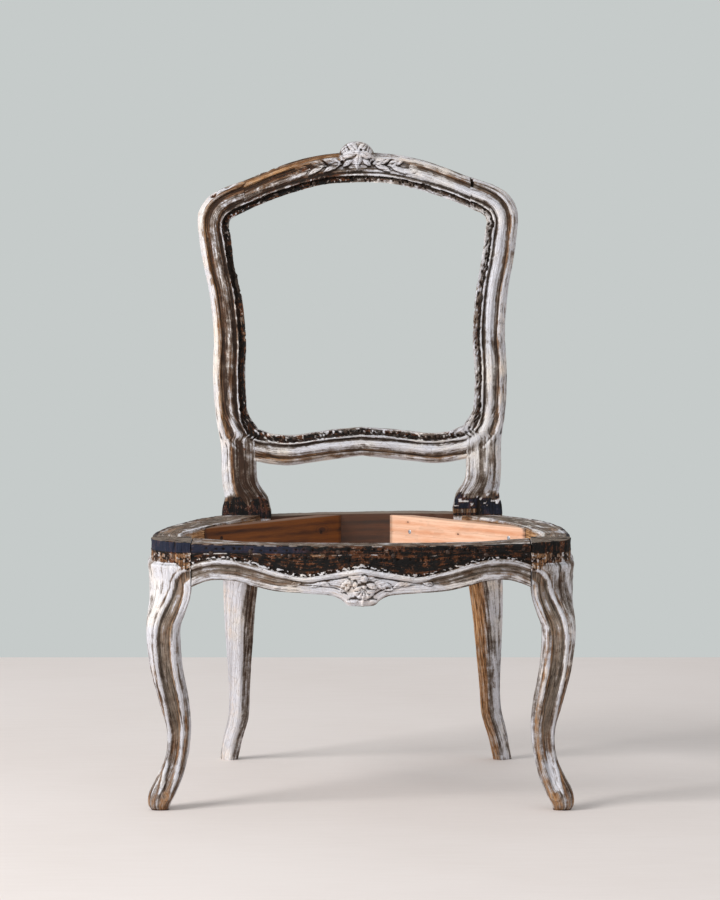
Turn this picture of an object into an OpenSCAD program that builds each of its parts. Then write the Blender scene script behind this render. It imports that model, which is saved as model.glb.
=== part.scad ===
// Rococo side chair frame, stripped of its upholstery. Millimetres, +Z up, the front faces -Y.
// Distances behind the front feet are written as depths; in_frame() moves them to the chair's middle.
// Left and right are as seen by someone who stands in front of the chair.

/* [Seat] */
// Width across the front knees, the widest part of the chair
knee_span = 590; // [500:1:700]
// Height of the seat rails' top edge
seat_h = 369; // [330:1:460]
// Depth from the front feet to the front face of the rear posts
post_depth = 392; // [330:1:480]
// How far the front rail bows forward between the legs
front_bow = 32; // [10:1:45]
// Thickness of the front rail
front_rail_t = 44; // [36:1:50]
// How far the left side rail bulges, less than an even curve would
left_bulge = -8; // [-12:1:12]
// How far the right side rail bulges, more than an even curve would
right_bulge = 8; // [-12:1:12]

/* [Front legs] */
// Size of the seat corner block, from its inner face to the seat's edge
corner_block = 55.5; // [50:0.5:66]
// Width of the leg at the knee
knee_w = 47; // [42:1:54]
// Width of the leg at the ankle
ankle_w = 31; // [26:1:36]
// How far the leg's top stands above the shrunken rails
leg_proud = 2; // [0:0.5:3]

/* [Back] */
// Height of the crest rail's top edge in the middle, below the finial
crest_h = 889; // [780:1:980]
// Width over the stiles at the waist
waist_span = 424; // [380:1:460]
// Width of a stile
stile_w = 46.5; // [42:0.5:50]
// Width of the block where a stile meets the seat
base_w = 70; // [64:1:76]
// Thickness of the stiles and the back rails
back_t = 29; // [26:1:34]
// Depth that the back's top leans behind the seat
back_rake = 130; // [90:1:180]
// Angle that the whole back frame has racked to the left
rack_angle = 0.85; // [0:0.05:1.5]
// Width of the rebate for the back's upholstery
rebate_w = 9; // [6:0.5:10]
// Depth of that rebate
rebate_d = 8; // [4:0.5:10]

/* [Joints and fasteners] */
// Length of a tenon
tenon_l = 26; // [18:1:28]
// Thickness of a tenon
tenon_t = 10; // [8:0.5:12]
// Gap round a tenon in its mortise
tenon_gap = 0.25; // [0.1:0.05:0.5]
// Radius of a wooden peg
peg_r = 3; // [2:0.25:3.5]
// Radius of a brace screw's shank
screw_r = 2; // [1.5:0.25:2.5]
// Radius of a tack's head
tack_r = 3.2; // [2:0.1:4]
// Thickness of a brace board
brace_t = 20; // [14:1:24]

/* [Hidden] */

LEFT = -1;
RIGHT = 1;
front_depth = -25;                          // the front rail's face in the middle
block_back = 85;                            // the rear face of a corner block
corner_x = knee_span / 2 - 5.5;             // the seat's half width
rail_end = corner_x - corner_block;         // where the front rail meets a leg
rail_t = 42.5;                              // a side rail's thickness at the front
post_out = waist_span / 2 - 9.5;            // a post's outer face at the seat
post_in = post_out - base_w;                // its inner face there
post_t = 46;                                // its thickness there
block_low = seat_h - 69;                    // underside of the rear posts' seat block
crest_joint = waist_span / 2 - 47;          // where the crest rail meets a shoulder
lower_joint = waist_span / 2 - 61;          // where the lower back rail's mouldings end, near a stile
joint_gap = 1;                              // how far its ends stand off the bent edge of the stile
undercut = 2.5;                             // how far its end faces are hollowed round the tenon
back_span = crest_h - seat_h;
front_most = front_depth - 10;              // the carved flower on the apron
rear_most = post_depth + back_rake + back_t + 3;  // the crest rail's back
mid_depth = (front_most + rear_most) / 2;   // the origin's depth, halfway through the chair
pivot_h = 470;                              // the height that the back racked about
EPS = 0.01;

// Paint and wood, as they have weathered
PAINT = "#b9ada0";
WORN = "#8d6f57";
STAIN = "#3b3029";
PINE = "#c98f6a";
OLD_BOARD = "#8a5a3b";
RUST = "#5e4133";

// ---------- curves ----------

function mix(a, b, s) = a + (b - a) * s;
function clamp(v) = min(max(v, 0), 1);
function ease(s) = let(c = clamp(s)) c * c * (3 - 2 * c);
function hump(s) = abs(s) < 1 ? (1 + cos(180 * s)) / 2 : 0;

// Smooth value at t through rows of [t, value]
function row_of(rows, t, i = 0) = i >= len(rows) - 2 || t < rows[i + 1][0] ? i : row_of(rows, t, i + 1);
function slope(rows, i) =
    let(a = rows[max(i - 1, 0)], b = rows[min(i + 1, len(rows) - 1)])
    (b[1] - a[1]) / (b[0] - a[0]);
function curve(rows, t) =
    let(i = row_of(rows, t), a = rows[i], b = rows[i + 1], h = b[0] - a[0], s = clamp((t - a[0]) / h))
    a[1] * (1 + 2 * s) * pow(1 - s, 2) + slope(rows, i) * h * s * pow(1 - s, 2)
    + b[1] * s * s * (3 - 2 * s) - slope(rows, i + 1) * h * s * s * (1 - s);

function middle(ring) = [for (k = [0:2]) (min([for (p = ring) p[k]]) + max([for (p = ring) p[k]])) / 2];

// A solid through rings that all have as many points, closed by a fan round each end's hub
module loft(rings, hubs) {
    n = len(rings[0]);
    last = (len(rings) - 1) * n;
    points = [for (ring = rings) each ring, hubs[0], hubs[1]];
    sides = [for (i = [0:len(rings) - 2], j = [0:n - 1])
                let(a = i * n + j, b = i * n + (j + 1) % n) each [[a, a + n, b + n], [a, b + n, b]]];
    first_end = [for (j = [0:n - 1]) [len(points) - 2, j, (j + 1) % n]];
    last_end = [for (j = [0:n - 1]) [len(points) - 1, last + (j + 1) % n, last + j]];
    polyhedron(points, concat(sides, first_end, last_end));
}

module in_frame() {
    translate([0, -mid_depth, 0])
        children();
}

// The back frame has racked as one piece, so its joints stay true
module racked() {
    translate([0, 0, pivot_h])
        rotate([0, -rack_angle, 0])
            translate([0, 0, -pivot_h])
                children();
}

module block(low, high) {
    translate(low)
        cube(high - low);
}

// A tenon's or a mortise's box round a centre; grow is the mortise's gap
module tongue(centre, size, grow = 0) {
    translate(centre)
        cube([for (k = size) k + 2 * grow], center = true);
}

module peg(at, direction, length, radius = peg_r, grow = 0) {
    translate(at)
        rotate(direction)
            cylinder(h = length, r = radius + grow, $fn = 24);
}

// ---------- front rail ----------

function front_face(x) = front_depth + front_bow * pow(x / rail_end, 2);

// Lower edge and the moulding's upper edge, as drops below the seat, by share of the rail's half length
APRON_DROP = [[0, 82], [0.06, 80], [0.11, 73], [0.17, 67.5], [0.34, 64.5], [0.5, 62], [0.62, 56],
              [0.73, 49.5], [0.82, 48], [0.9, 50.5], [1, 60]];
BAND_DROP = [[0, 30], [0.19, 38], [0.33, 42.5], [0.5, 35], [0.62, 27], [0.73, 21.5], [0.82, 20],
             [0.9, 22], [1, 29]];
function apron_low(x) = seat_h - curve(APRON_DROP, abs(x) / rail_end);
function band_low(x) = seat_h - curve(BAND_DROP, abs(x) / rail_end);

// How far the carved flower stands out of the apron
function flower(x) = 5 * hump(x / 42);

// The rail's inner face, which turns back where it meets a leg
CORNER_FILL = 30;
function front_inner(x) = front_rail_t + CORNER_FILL * ease((abs(x) / rail_end - 0.62) / 0.38);

// One section: a flat band for the cloth, a bead under it, a cove and a lower bead
function front_section(x) =
    let(y = front_face(x), top = seat_h, edge = band_low(x), low = apron_low(x), f = flower(x),
        inner = front_inner(x))
    [for (p = [[inner, top], [1.5, top], [0, top - 2], [0, edge + 2], [-3 - f / 3, edge],
               [-5.5 - f / 2, edge - 4], [-3.5 - f, edge - 8], [-1.5 - f, (edge + low) / 2],
               [-3.5 - f, low + 8], [-5 - f, low + 4], [-3, low], [8, low],
               [inner - 14, low + 3], [inner, low + 16]])
        [x, y + p[0], p[1]]];

FRONT_STEPS = 38;
function front_tenon() = [tenon_l + 4, tenon_t, 34];
function front_tenon_at(side) =
    [side * (rail_end + tenon_l / 2 - 2), front_face(rail_end) + 22, seat_h - 27];

module front_rail() {
    stations = [for (i = [0:FRONT_STEPS]) mix(-rail_end, rail_end, i / FRONT_STEPS)];
    hubs = [for (s = [-1, 1]) [s * rail_end, front_face(rail_end) + 20, seat_h - 25]];
    color(PAINT)
        in_frame()
            difference() {
                union() {
                    loft([for (x = stations) front_section(x)], hubs);
                    for (side = [LEFT, RIGHT])
                        tongue(front_tenon_at(side), front_tenon());
                }
                front_pegs(EPS);
                front_tacks(EPS);
            }
}

// ---------- front legs ----------

// Plan of the corner block, from its inner back corner round the front to its outer back corner:
// across from the inner face, depth, then how far each point follows the moulding sideways and forwards
function corner_plan() =
    let(b = corner_block, f = front_face(rail_end), d = block_back)
    [[6, d, 0, 0], [0, d - 6, 0, 0], [0, mix(f, d, 0.7), 0, 0], [0, mix(f, d, 0.35), 0, 0], [0, f, 0, 1],
     [0.18 * b, f + 2.5, 0.1, 1], [0.36 * b, f + 6.5, 0.2, 1], [0.54 * b, f + 12, 0.4, 0.9],
     [0.7 * b, f + 20, 0.7, 0.7], [0.85 * b, f + 31, 0.9, 0.4], [0.955 * b, f + 45, 1, 0.2],
     [b, f + 60, 1, 0.1], [b, d, 1, 0], [0.78 * b, d, 0, 0], [0.56 * b, d, 0, 0], [0.34 * b, d, 0, 0]];

// How far the face stands out at a height: nothing at the band, a bead below it
function leg_relief(z) = curve([[-90, 2], [-62, 3], [-52, 2], [-40, 3.5], [-33, 5.5], [-29, 3], [-27, 0], [0, 0]],
                               z - seat_h);

// The cabriole: how far its middle lies in from the knee, its width and its share of the corner block,
// by share of the seat's height
LEG_IN = [[0, -5], [0.02, -6.5], [0.065, -1.5], [0.12, 8], [0.175, 15.5], [0.235, 19.5], [0.3, 19.9],
          [0.36, 16.5], [0.435, 11], [0.53, 4], [0.62, 0.4], [0.69, 0], [0.75, 2], [0.82, 5.5], [1, 8]];
function leg_width(s) =
    let(mid = (knee_w + ankle_w) / 2)
    curve([[0, ankle_w - 7], [0.02, ankle_w - 1], [0.065, ankle_w + 6.5], [0.12, ankle_w + 4.5],
           [0.175, ankle_w + 0.5], [0.235, ankle_w], [0.3, ankle_w + 2.6], [0.36, mid - 0.5],
           [0.435, mid + 3], [0.53, knee_w - 2.8], [0.62, knee_w - 1.4], [0.69, knee_w],
           [0.75, knee_w + 3], [1, knee_w + 6]], s);
KNEE_DEPTH = 24;

function corner_share(z) = ease((z - (seat_h - 122)) / 62);

function leg_ring(z) =
    let(s = z / seat_h, k = corner_share(z), w = leg_width(s), in = curve(LEG_IN, s),
        x = knee_span / 2 - knee_w / 2 - in, y = KNEE_DEPTH + in, plan = corner_plan(), r = leg_relief(z))
    [for (j = [0:15])
        let(a = 135 + 22.5 * j, q = pow(pow(abs(cos(a)), 3.2) + pow(abs(sin(a)), 3.2), -1 / 3.2) * w / 2,
            p = plan[j])
        [mix(x + q * cos(a), rail_end + p[0] + r * p[2], k),
         mix(y + q * sin(a), p[1] - r * p[3], k), z]];

LEG_HEIGHTS = [0, 3, 8, 16, 26, 38, 52, 68, 86, 104, 122, 140, 158, 176, 194, 212, 228, 242];

// The seat rails meet the block above this drop, where its joint faces are flat
BLOCK_DROPS = [-115, -106, -97, -88, -78, -69, -60, -52, -44, -38, -33, -30, -28, -26];

module front_leg(side) {
    high = seat_h + leg_proud;
    heights = concat([for (z = LEG_HEIGHTS) z * (seat_h - 115) / 254], [for (d = BLOCK_DROPS) seat_h + d],
                     [high]);
    foot = middle(leg_ring(0));
    top = [rail_end + corner_block / 2, (front_face(rail_end) + block_back) / 2 + 8, high];
    color(WORN)
        in_frame()
            difference() {
                mirror([side == LEFT ? 1 : 0, 0, 0])
                    loft([for (z = heights) leg_ring(z)], [foot, top]);
                tongue(front_tenon_at(side), front_tenon(), tenon_gap);
                tongue(side_tenon_at(side), side_tenon(), tenon_gap);
                front_pegs(EPS);
                side_pegs(EPS);
            }
}

// ---------- side rails ----------

// Share of the way in from the seat's corner to the rear post, by share of the rail's length
OUTER_SHARE = [[0, 0], [0.2, 0.0], [0.385, 0.075], [0.57, 0.21], [0.75, 0.41], [0.88, 0.66], [1, 1]];
INNER_SHARE = [[0, 0], [0.2, -0.03], [0.385, 0.09], [0.55, 0.25], [0.73, 0.5], [0.87, 0.73], [1, 1]];
function bulge(side, t) = (side == LEFT ? left_bulge : right_bulge) * sin(180 * t * t);
function rail_outer(side, t) =
    [mix(corner_x, post_out, curve(OUTER_SHARE, t)) + bulge(side, t), mix(block_back, post_depth, t)];
function rail_inner(side, t) =
    [mix(corner_x - rail_t, post_in + 12, curve(INNER_SHARE, t)) + bulge(side, t),
     mix(block_back, post_depth, t) - 12 * sin(180 * t)];
function side_low(t) = seat_h - curve([[0, 60], [0.2, 51], [0.5, 50], [0.8, 54], [1, 60]], t);

// One section, from the inner top edge over the outer face to the inner lower edge
function side_section(side, t) =
    let(o = rail_outer(side, t), i = rail_inner(side, t), w = norm(i - o), low = side_low(t))
    [for (p = [[w, seat_h], [1.5, seat_h], [0, seat_h - 2], [0, seat_h - 27], [-3, seat_h - 29],
               [-5.5, seat_h - 33], [-3, seat_h - 38], [-1.5, low + 9], [-3, low + 4], [-1, low],
               [10, low], [w, low + 8]])
        let(at = o + (i - o) * p[0] / w) [at[0], at[1], p[1]]];

SIDE_STEPS = 18;
function side_tenon() = [tenon_t, tenon_l + 4, 34];
function side_tenon_at(side) = [side * (corner_x - rail_t / 2 - 2), block_back - tenon_l / 2 + 2, seat_h - 27];
function rear_tenon() = [tenon_t, tenon_l + 4, 34];
function rear_tenon_at(side) = [side * (post_out - 26), post_depth + tenon_l / 2 - 2, seat_h - 27];

module side_rail(side) {
    ends = [for (t = [0, 1]) (rail_outer(side, t) + rail_inner(side, t)) / 2];
    color(WORN)
        in_frame()
            difference() {
                union() {
                    mirror([side == LEFT ? 1 : 0, 0, 0])
                        loft([for (i = [0:SIDE_STEPS]) side_section(side, i / SIDE_STEPS)],
                             [for (e = ends) [e[0], e[1], seat_h - 25]]);
                    tongue(side_tenon_at(side), side_tenon());
                    racked()
                        tongue(rear_tenon_at(side), rear_tenon());
                }
                side_pegs(EPS);
                brace_fixings(EPS);
                racked()
                    rear_pegs(EPS);
            }
}

// ---------- rear posts ----------

// Depth of the back's front face by share of the height between the seat and the crest's top
RAKE = [[0, 0], [0.1, 0.015], [0.22, 0.085], [0.42, 0.29], [0.68, 0.62], [0.94, 0.95], [1.05, 1.1]];
LEG_SWEEP = [[0, 74], [0.27, 48], [0.55, 21], [0.8, 2], [0.815, 0], [1, 0]];
function back_depth(z) =
    post_depth + (z < seat_h ? max(0, curve(LEG_SWEEP, z / seat_h))
                             : back_rake * curve(RAKE, (z - seat_h) / back_span));

// Outer edge as an offset from the waist's, by the same share; the rear leg's by share of the seat's height
STILE_OUT = [[0, -9.5], [0.025, -10.5], [0.052, -13.5], [0.085, -11], [0.12, -9.5], [0.2, -8.5], [0.27, -2.6],
             [0.325, 0], [0.4, 1.2], [0.485, -0.5], [0.565, 2.6], [0.63, 7], [0.69, 13.8], [0.77, 20.2],
             [0.82, 22]];
REAR_LEG_OUT = [[0, 9.3], [0.08, 7], [0.18, -1.5], [0.27, -4.5], [0.35, -4], [0.48, -2], [0.62, 0], [1, 0]];
REAR_LEG_W = [[0, 24], [0.08, 28], [0.18, 30], [0.27, 29.5], [0.35, 32], [0.48, 38], [0.62, 44.5], [0.73, 50]];
NECK_W = 50.5;

function post_edge(z) =
    z < seat_h ? post_out + curve(REAR_LEG_OUT, z / seat_h)
               : waist_span / 2 + curve(STILE_OUT, (z - seat_h) / back_span);
function post_width(z) =
    let(f = (z - seat_h) / back_span)
    z < block_low ? mix(curve(REAR_LEG_W, z / seat_h), base_w, ease((z - block_low + 32) / 32))
    : f < 0.107 ? mix(base_w, NECK_W, ease((f - 0.004) / 0.103))
    : mix(NECK_W, stile_w, ease((f - 0.2) / 0.1));
function post_thick(z) =
    z < seat_h ? curve([[0, 24], [0.27, 30], [0.55, 38], [0.81, post_t], [1, post_t]], z / seat_h)
               : mix(post_t, back_t, ease((z - seat_h - 8) / 110));

// Sections, u from the opening to the outer edge and v from the front to the back
function leg_profile(w, t) =
    [for (p = [[0, t - 6], [0, 9], [0.12 * w, 6], [0.24 * w, 3.6], [0.36 * w, 1.4], [0.45 * w, 0],
               [0.52 * w, 0.6], [0.6 * w, 2.2], [0.68 * w, 4], [0.76 * w, 5.8], [0.84 * w, 7.6],
               [0.92 * w, 9.4], [w, 11.5], [w, t - 8], [w - 6, t], [6, t]]) p];
function block_profile(w, t) =
    [for (p = [[0, t - 3], [0, 1], [1, 0], [0.2 * w, 0], [0.3 * w, 0], [0.4 * w, 0], [0.5 * w, 0], [0.6 * w, 0],
               [0.7 * w, 0], [0.8 * w, 0], [0.9 * w, 0], [w - 1, 0], [w, 1], [w, t - 3], [w - 3, t],
               [3, t]]) p];
function neck_profile(w, t) =
    [for (p = [[0, t - 4], [0, 4], [0.08 * w, 1.5], [0.16 * w, 1], [0.24 * w, 1.6], [0.32 * w, 0.6],
               [0.4 * w, 0], [0.5 * w, 0], [0.58 * w, 0.5], [0.66 * w, 1.5], [0.7 * w, 3], [0.86 * w, 9],
               [w, 14], [w, t - 8], [w - 7, t], [5, t]]) p];
function moulded(w, t) =
    let(r = rebate_w)
    [[0, t - 5], [0, rebate_d], [r, rebate_d], [r + 0.5, 1.5], [r + 3, 1.5], [r + 5, 4], [r + 8, 0.8],
     [r + 13, 0], [r + 18, 0.8], [r + 20, 4], [w - 9, 4.5], [w - 7, 3], [w, 12], [w, t - 10],
     [w - 6, t], [5, t]];
function post_profile(z) =
    let(w = post_width(z), t = post_thick(z),
        low = mix(leg_profile(w, t), block_profile(w, t), ease((z - block_low + 40) / 40)),
        neck = mix(block_profile(w, t), neck_profile(w, t), ease((z - seat_h - 14) / 22)))
    z < seat_h + 14 ? low : mix(neck, moulded(w, t), ease((z - seat_h - 66) / 36));

// A ring across the back frame between an inner and an outer point of its elevation
function back_ring(inner, outer, profile) =
    let(w = norm(outer - inner))
    [for (p = profile) let(at = mix(inner, outer, p[0] / w)) [at[0], back_depth(at[1]) + p[1], at[1]]];

function post_ring(z) =
    let(out = post_edge(z), w = post_width(z))
    [for (p = post_profile(z)) [out - w + p[0], back_depth(z) + p[1], z]];

// The shoulder turns from the stile to the crest: inner and outer points, across from the waist and
// down from the crest's top
SHOULDER = [[[-23.8, 107], [22, 100]], [[-23.6, 101.5], [21, 86]], [[-24.6, 96.5], [15.5, 73]],
            [[-27, 93], [5, 60.5]], [[-31, 90.5], [-11, 51]], [[-38, 87], [-29, 44]]];
function shoulder_rings() =
    let(ends = [for (s = SHOULDER) [for (p = s) [waist_span / 2 + p[0], crest_h - p[1]]]],
        joint = [[crest_joint, crest_inner(crest_joint)], [crest_joint, crest_outer(crest_joint)]])
    [for (e = concat(ends, [joint])) back_ring(e[0], e[1], moulded(norm(e[1] - e[0]), back_t))];

SUNK = 6;  // the posts start below the floor and are cut level with it after racking
LOW_HEIGHTS = [0, 0.05, 0.1, 0.16, 0.22, 0.29, 0.37, 0.46, 0.55, 0.64, 0.7];
NECK_RISES = [14, 19, 24, 30, 36, 43, 51, 60, 70, 80, 90, 100, 112];

module rear_post(side) {
    top_plain = crest_h - 118;
    stile_low = seat_h + NECK_RISES[len(NECK_RISES) - 1];
    heights = concat([for (s = LOW_HEIGHTS) s * seat_h], [for (d = [24, 12]) block_low - d],
                     [block_low, seat_h], [for (d = NECK_RISES) seat_h + d],
                     [for (i = [1:16]) mix(stile_low, top_plain, i / 16)]);
    foot = [for (p = post_ring(0)) [p[0], p[1], -SUNK]];
    rings = concat([foot], [for (z = heights) post_ring(z)], shoulder_rings());
    last = rings[len(rings) - 1];
    color(PAINT)
        in_frame()
            difference() {
                racked()
                    difference() {
                        mirror([side == LEFT ? 1 : 0, 0, 0])
                            loft(rings, [middle(foot), middle(last)]);
                        tongue(rear_tenon_at(side), rear_tenon(), tenon_gap);
                        tongue(back_tenon_at(side), back_tenon(), tenon_gap);
                        tongue(lower_tenon_at(side), lower_tenon(), tenon_gap);
                        crest_tongue(side, tenon_gap);
                        rear_pegs(EPS);
                        frame_pegs(EPS);
                    }
                block([-knee_span, 0, -4 * SUNK], [knee_span, 2 * post_depth, 0]);
            }
}

// ---------- back rail ----------

back_rail_bow = 20;                          // how far its middle lies behind its ends
back_rail_t = 30;
back_rail_front = post_depth + 10;
function bow_radius(half, bow) = (half * half + bow * bow) / (2 * bow);
function back_tenon() = [tenon_l + 4, tenon_t, 34];
function back_tenon_at(side) =
    [side * (post_in + tenon_l / 2 - 2), back_rail_front + back_rail_t / 2, seat_h - 34];

module back_rail() {
    r = bow_radius(post_in, back_rail_bow);
    centre = back_rail_front + back_rail_bow - r;
    low = block_low + 4;
    color(STAIN)
        in_frame()
            difference() {
                racked()
                    difference() {
                        union() {
                            intersection() {
                                translate([0, centre, low])
                                    difference() {
                                        cylinder(h = seat_h - low, r = r + back_rail_t, $fn = 180);
                                        translate([0, 0, -EPS])
                                            cylinder(h = seat_h, r = r, $fn = 180);
                                    }
                                block([-post_in, back_rail_front - 1, 0],
                                      [post_in, back_rail_front + back_rail_bow + back_rail_t + 1, 2 * seat_h]);
                            }
                            for (side = [LEFT, RIGHT])
                                tongue(back_tenon_at(side), back_tenon());
                        }
                        frame_pegs(EPS);
                    }
                brace_fixings(EPS);
            }
}

// ---------- crest rail and lower back rail ----------

CREST_OUT = [[0, 0], [0.2, 1.2], [0.4, 5.5], [0.62, 14.5], [0.8, 25], [0.95, 35], [1, 38]];
CREST_IN = [[0, 43], [0.2, 44], [0.34, 47], [0.5, 53], [0.65, 60.5], [0.8, 69], [0.92, 77], [1, 83]];
finial_h = 16;                               // the carved flower's height above the crest
finial_w = 25;                               // and its half width
function crest_outer(x) = crest_h - curve(CREST_OUT, abs(x) / crest_joint);
function crest_inner(x) = crest_h - curve(CREST_IN, abs(x) / crest_joint);
function finial(x) = finial_h * pow(max(0, 1 - pow(abs(x) / finial_w, 2.4)), 0.7);

// The leaves either side of the flower fill the mouldings and stand out of them
function leaf(x) = 4 * hump(x / 85);
function crest_ring(x) =
    let(inner = [x, crest_inner(x)], plain = [x, crest_outer(x)], up = finial(x), f = leaf(x),
        p = moulded(norm(plain - inner), back_t))
    [for (j = [0:len(p) - 1])
        let(high = j >= 9 && j <= 14 ? up * [0.3, 0.6, 0.8, 1, 1, 0.95][j - 9] : 0,
            front = j >= 4 && j <= 12 ? f * (j == 12 ? 2.2 : 1) : 0,
            at = inner + [0, p[j][0] + high])
        [at[0], back_depth(at[1] - high) + p[j][1] - front, at[1]]];

function crest_tenon() = [tenon_l + 4, tenon_t, 22];

module crest_tongue(side, grow = 0) {
    z = (crest_inner(crest_joint) + crest_outer(crest_joint)) / 2;
    tongue([side * (crest_joint + tenon_l / 2 - 2), back_depth(z) + back_t / 2 + 1, z], crest_tenon(), grow);
}

// Stations as shares of the rail's half length, in 165ths, closer at the flower
CREST_X = [165, 154, 143, 132, 121, 110, 99, 88, 77, 67, 57, 48, 40, 33, 28, 25.2, 24, 22, 19, 16, 12, 8, 4];

module crest_rail() {
    half = [for (x = CREST_X) x * crest_joint / 165];
    stations = concat(half, [0], [for (i = [len(half) - 1:-1:0]) -half[i]]);
    rings = [for (x = stations) crest_ring(x)];
    color(PAINT)
        in_frame()
            racked()
                difference() {
                    union() {
                        loft(rings, [middle(rings[0]), middle(rings[len(rings) - 1])]);
                        for (side = [LEFT, RIGHT])
                            crest_tongue(side);
                    }
                    frame_pegs(EPS);
                    crest_tacks(EPS);
                }
}

// Upper and lower edges above the seat by share of the rail's half length
LOWER_TOP = [[0, 125.5], [0.28, 122.5], [0.42, 120], [0.66, 115.5], [0.85, 118], [1, 125.5]];
LOWER_LOW = [[0, 85], [0.25, 80.5], [0.5, 76], [0.72, 72.5], [0.87, 75], [1, 80]];
LOWER_STEPS = 28;
function stile_inner(z) = post_edge(z) - post_width(z);

// Its ends follow the stile's edge, so its flat back takes points between the corners
function lower_profile(w, t) =
    let(m = moulded(w, t), n = len(m) - 1)
    concat([for (i = [0:n - 1]) m[i]], [for (share = [0.75, 0.5, 0.25]) [mix(5, w - 6, share), t]], [m[n]]);
function lower_ring(x) =
    let(s = abs(x) / lower_joint, inner = [x, seat_h + curve(LOWER_TOP, s)],
        outer = [x, seat_h + curve(LOWER_LOW, s)], fitted = ease((s - 0.86) / 0.14))
    [for (p = back_ring(inner, outer, lower_profile(norm(outer - inner), back_t - 3)))
        [p[0] + sign(x) * fitted * (stile_inner(p[2]) - joint_gap - lower_joint), p[1], p[2]]];
function lower_end(ring) =
    let(m = middle(ring)) [sign(m[0]) * (stile_inner(m[2]) - joint_gap - undercut), m[1], m[2]];
function lower_tenon() = [tenon_l + 4, tenon_t - 1, 26];
function lower_tenon_at(side) =
    [side * (lower_joint + tenon_l / 2 - 2), back_depth(seat_h + 102) + back_t / 2 + 2, seat_h + 102];

module lower_back_rail() {
    rings = [for (i = [0:LOWER_STEPS]) lower_ring(mix(-lower_joint, lower_joint, i / LOWER_STEPS))];
    color(PAINT)
        in_frame()
            racked()
                difference() {
                    union() {
                        loft(rings, [lower_end(rings[0]), lower_end(rings[LOWER_STEPS])]);
                        for (side = [LEFT, RIGHT])
                            tongue(lower_tenon_at(side), lower_tenon());
                    }
                    frame_pegs(EPS);
                    lower_tacks(EPS);
                }
}

// ---------- braces ----------

brace_top = seat_h - 2;
brace_low = seat_h - 63;
brace_gap = 0.8;                             // the old glue line at a brace's end
brace_run = [0.5, 0.62];                     // its two corners on the side rail, by share of the rail
function brace_start(side) = side == LEFT ? 29 : 42;
function back_rail_face(x) =
    let(r = bow_radius(post_in, back_rail_bow)) back_rail_front + back_rail_bow - r + sqrt(r * r - x * x);

// A board in plan, cut to fit both rails: front face from the side rail to the back rail, then behind it
function brace_plan(side) =
    let(x = brace_start(side), far = x + 1.75 * brace_t, out = [brace_gap, 0], back = [0, brace_gap])
    [rail_inner(side, brace_run[0]) - out, [x, back_rail_face(x)] - back,
     [far, back_rail_face(far)] - back, rail_inner(side, brace_run[1]) - out];

// Two fixings go square through each board: near the back rail and near the side rail
BRACE_FIXINGS = [[0.15, 24], [0.88, 18]];    // share of the board from its middle end, drop below the seat
module brace_fixings(grow = 0) {
    for (side = [LEFT, RIGHT], f = BRACE_FIXINGS) {
        plan = brace_plan(side);
        run = (plan[0] - plan[1]) / norm(plan[0] - plan[1]);
        at = mix(plan[1], plan[0], f[0]);
        mirror([side == LEFT ? 1 : 0, 0, 0])
            translate([at[0], at[1], seat_h - f[1]])
                rotate([0, 90, atan2(run[0], -run[1])]) {
                    cylinder(h = brace_t + 24, r = screw_r + grow, $fn = 24);
                    cylinder(h = screw_r, r1 = 2 * screw_r + grow, r2 = screw_r + grow, $fn = 24);
                }
    }
}

module brace(side) {
    color(side == LEFT ? OLD_BOARD : PINE)
        in_frame()
            difference() {
                mirror([side == LEFT ? 1 : 0, 0, 0])
                    translate([0, 0, brace_low])
                        linear_extrude(brace_top - brace_low)
                            polygon(brace_plan(side));
                brace_fixings(EPS);
            }
}

module brace_screws() {
    color(RUST)
        in_frame()
            brace_fixings();
}

// ---------- pegs ----------

TO_BACK = [-90, 0, 0];
TO_RIGHT = [0, 90, 0];
peg_drop = 17;                               // the pegs' drop below the seat's top

module both_sides() {
    for (side = [LEFT, RIGHT])
        mirror([side == LEFT ? 1 : 0, 0, 0])
            children();
}

// Front rail to front legs
module front_pegs(grow = 0) {
    both_sides()
        peg([rail_end + 10, front_face(rail_end) + 2.5, seat_h - peg_drop], TO_BACK, 38, grow = grow);
}

// Side rails to front legs
module side_pegs(grow = 0) {
    both_sides()
        peg([corner_x - 34, block_back - 10, seat_h - peg_drop], TO_RIGHT, 34, grow = grow);
}

// Side rails to rear posts
module rear_pegs(grow = 0) {
    both_sides()
        peg([post_out - 42, post_depth + 12, seat_h - peg_drop], TO_RIGHT, 42, grow = grow);
}

// Back rail, lower back rail and crest rail to the posts, driven in from behind
module frame_pegs(grow = 0) {
    lower_z = seat_h + 102;
    crest_z = (crest_inner(crest_joint) + crest_outer(crest_joint)) / 2;
    both_sides() {
        peg([post_in + 12, post_depth + post_t - 33, seat_h - 34], TO_BACK, 33, grow = grow);
        peg([lower_joint + 12, back_depth(lower_z) + 7, lower_z], TO_BACK, post_thick(lower_z) - 8,
            grow = grow);
        peg([crest_joint + 12, back_depth(crest_z) + 7, crest_z], TO_BACK, back_t - 8, grow = grow);
    }
}

module joint_pegs() {
    color(OLD_BOARD)
        in_frame() {
            front_pegs();
            side_pegs();
            racked() {
                rear_pegs();
                frame_pegs();
            }
        }
}

// ---------- tacks ----------

// Across from the middle and drop below the seat, along the front rail's band
FRONT_TACKS = [[-205, 12], [-151, 9], [-97, 14], [-31, 8], [44, 13], [118, 9], [171, 14], [222, 6]];
CREST_TACKS = [-0.715, -0.382, 0.164, 0.558];  // along the crest rail's rebate, by share of its half length
LOWER_TACKS = [-0.636, -0.146, 0.404, 0.742];  // and along the lower back rail's
tack_l = 9;

module tack(at, grow = 0) {
    translate(at)
        rotate(TO_BACK) {
            cylinder(h = tack_l, r = tack_r / 4 + grow, $fn = 16);
            translate([0, 0, -1])
                cylinder(h = 1, r1 = tack_r / 2, r2 = tack_r, $fn = 16);
        }
}

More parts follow.
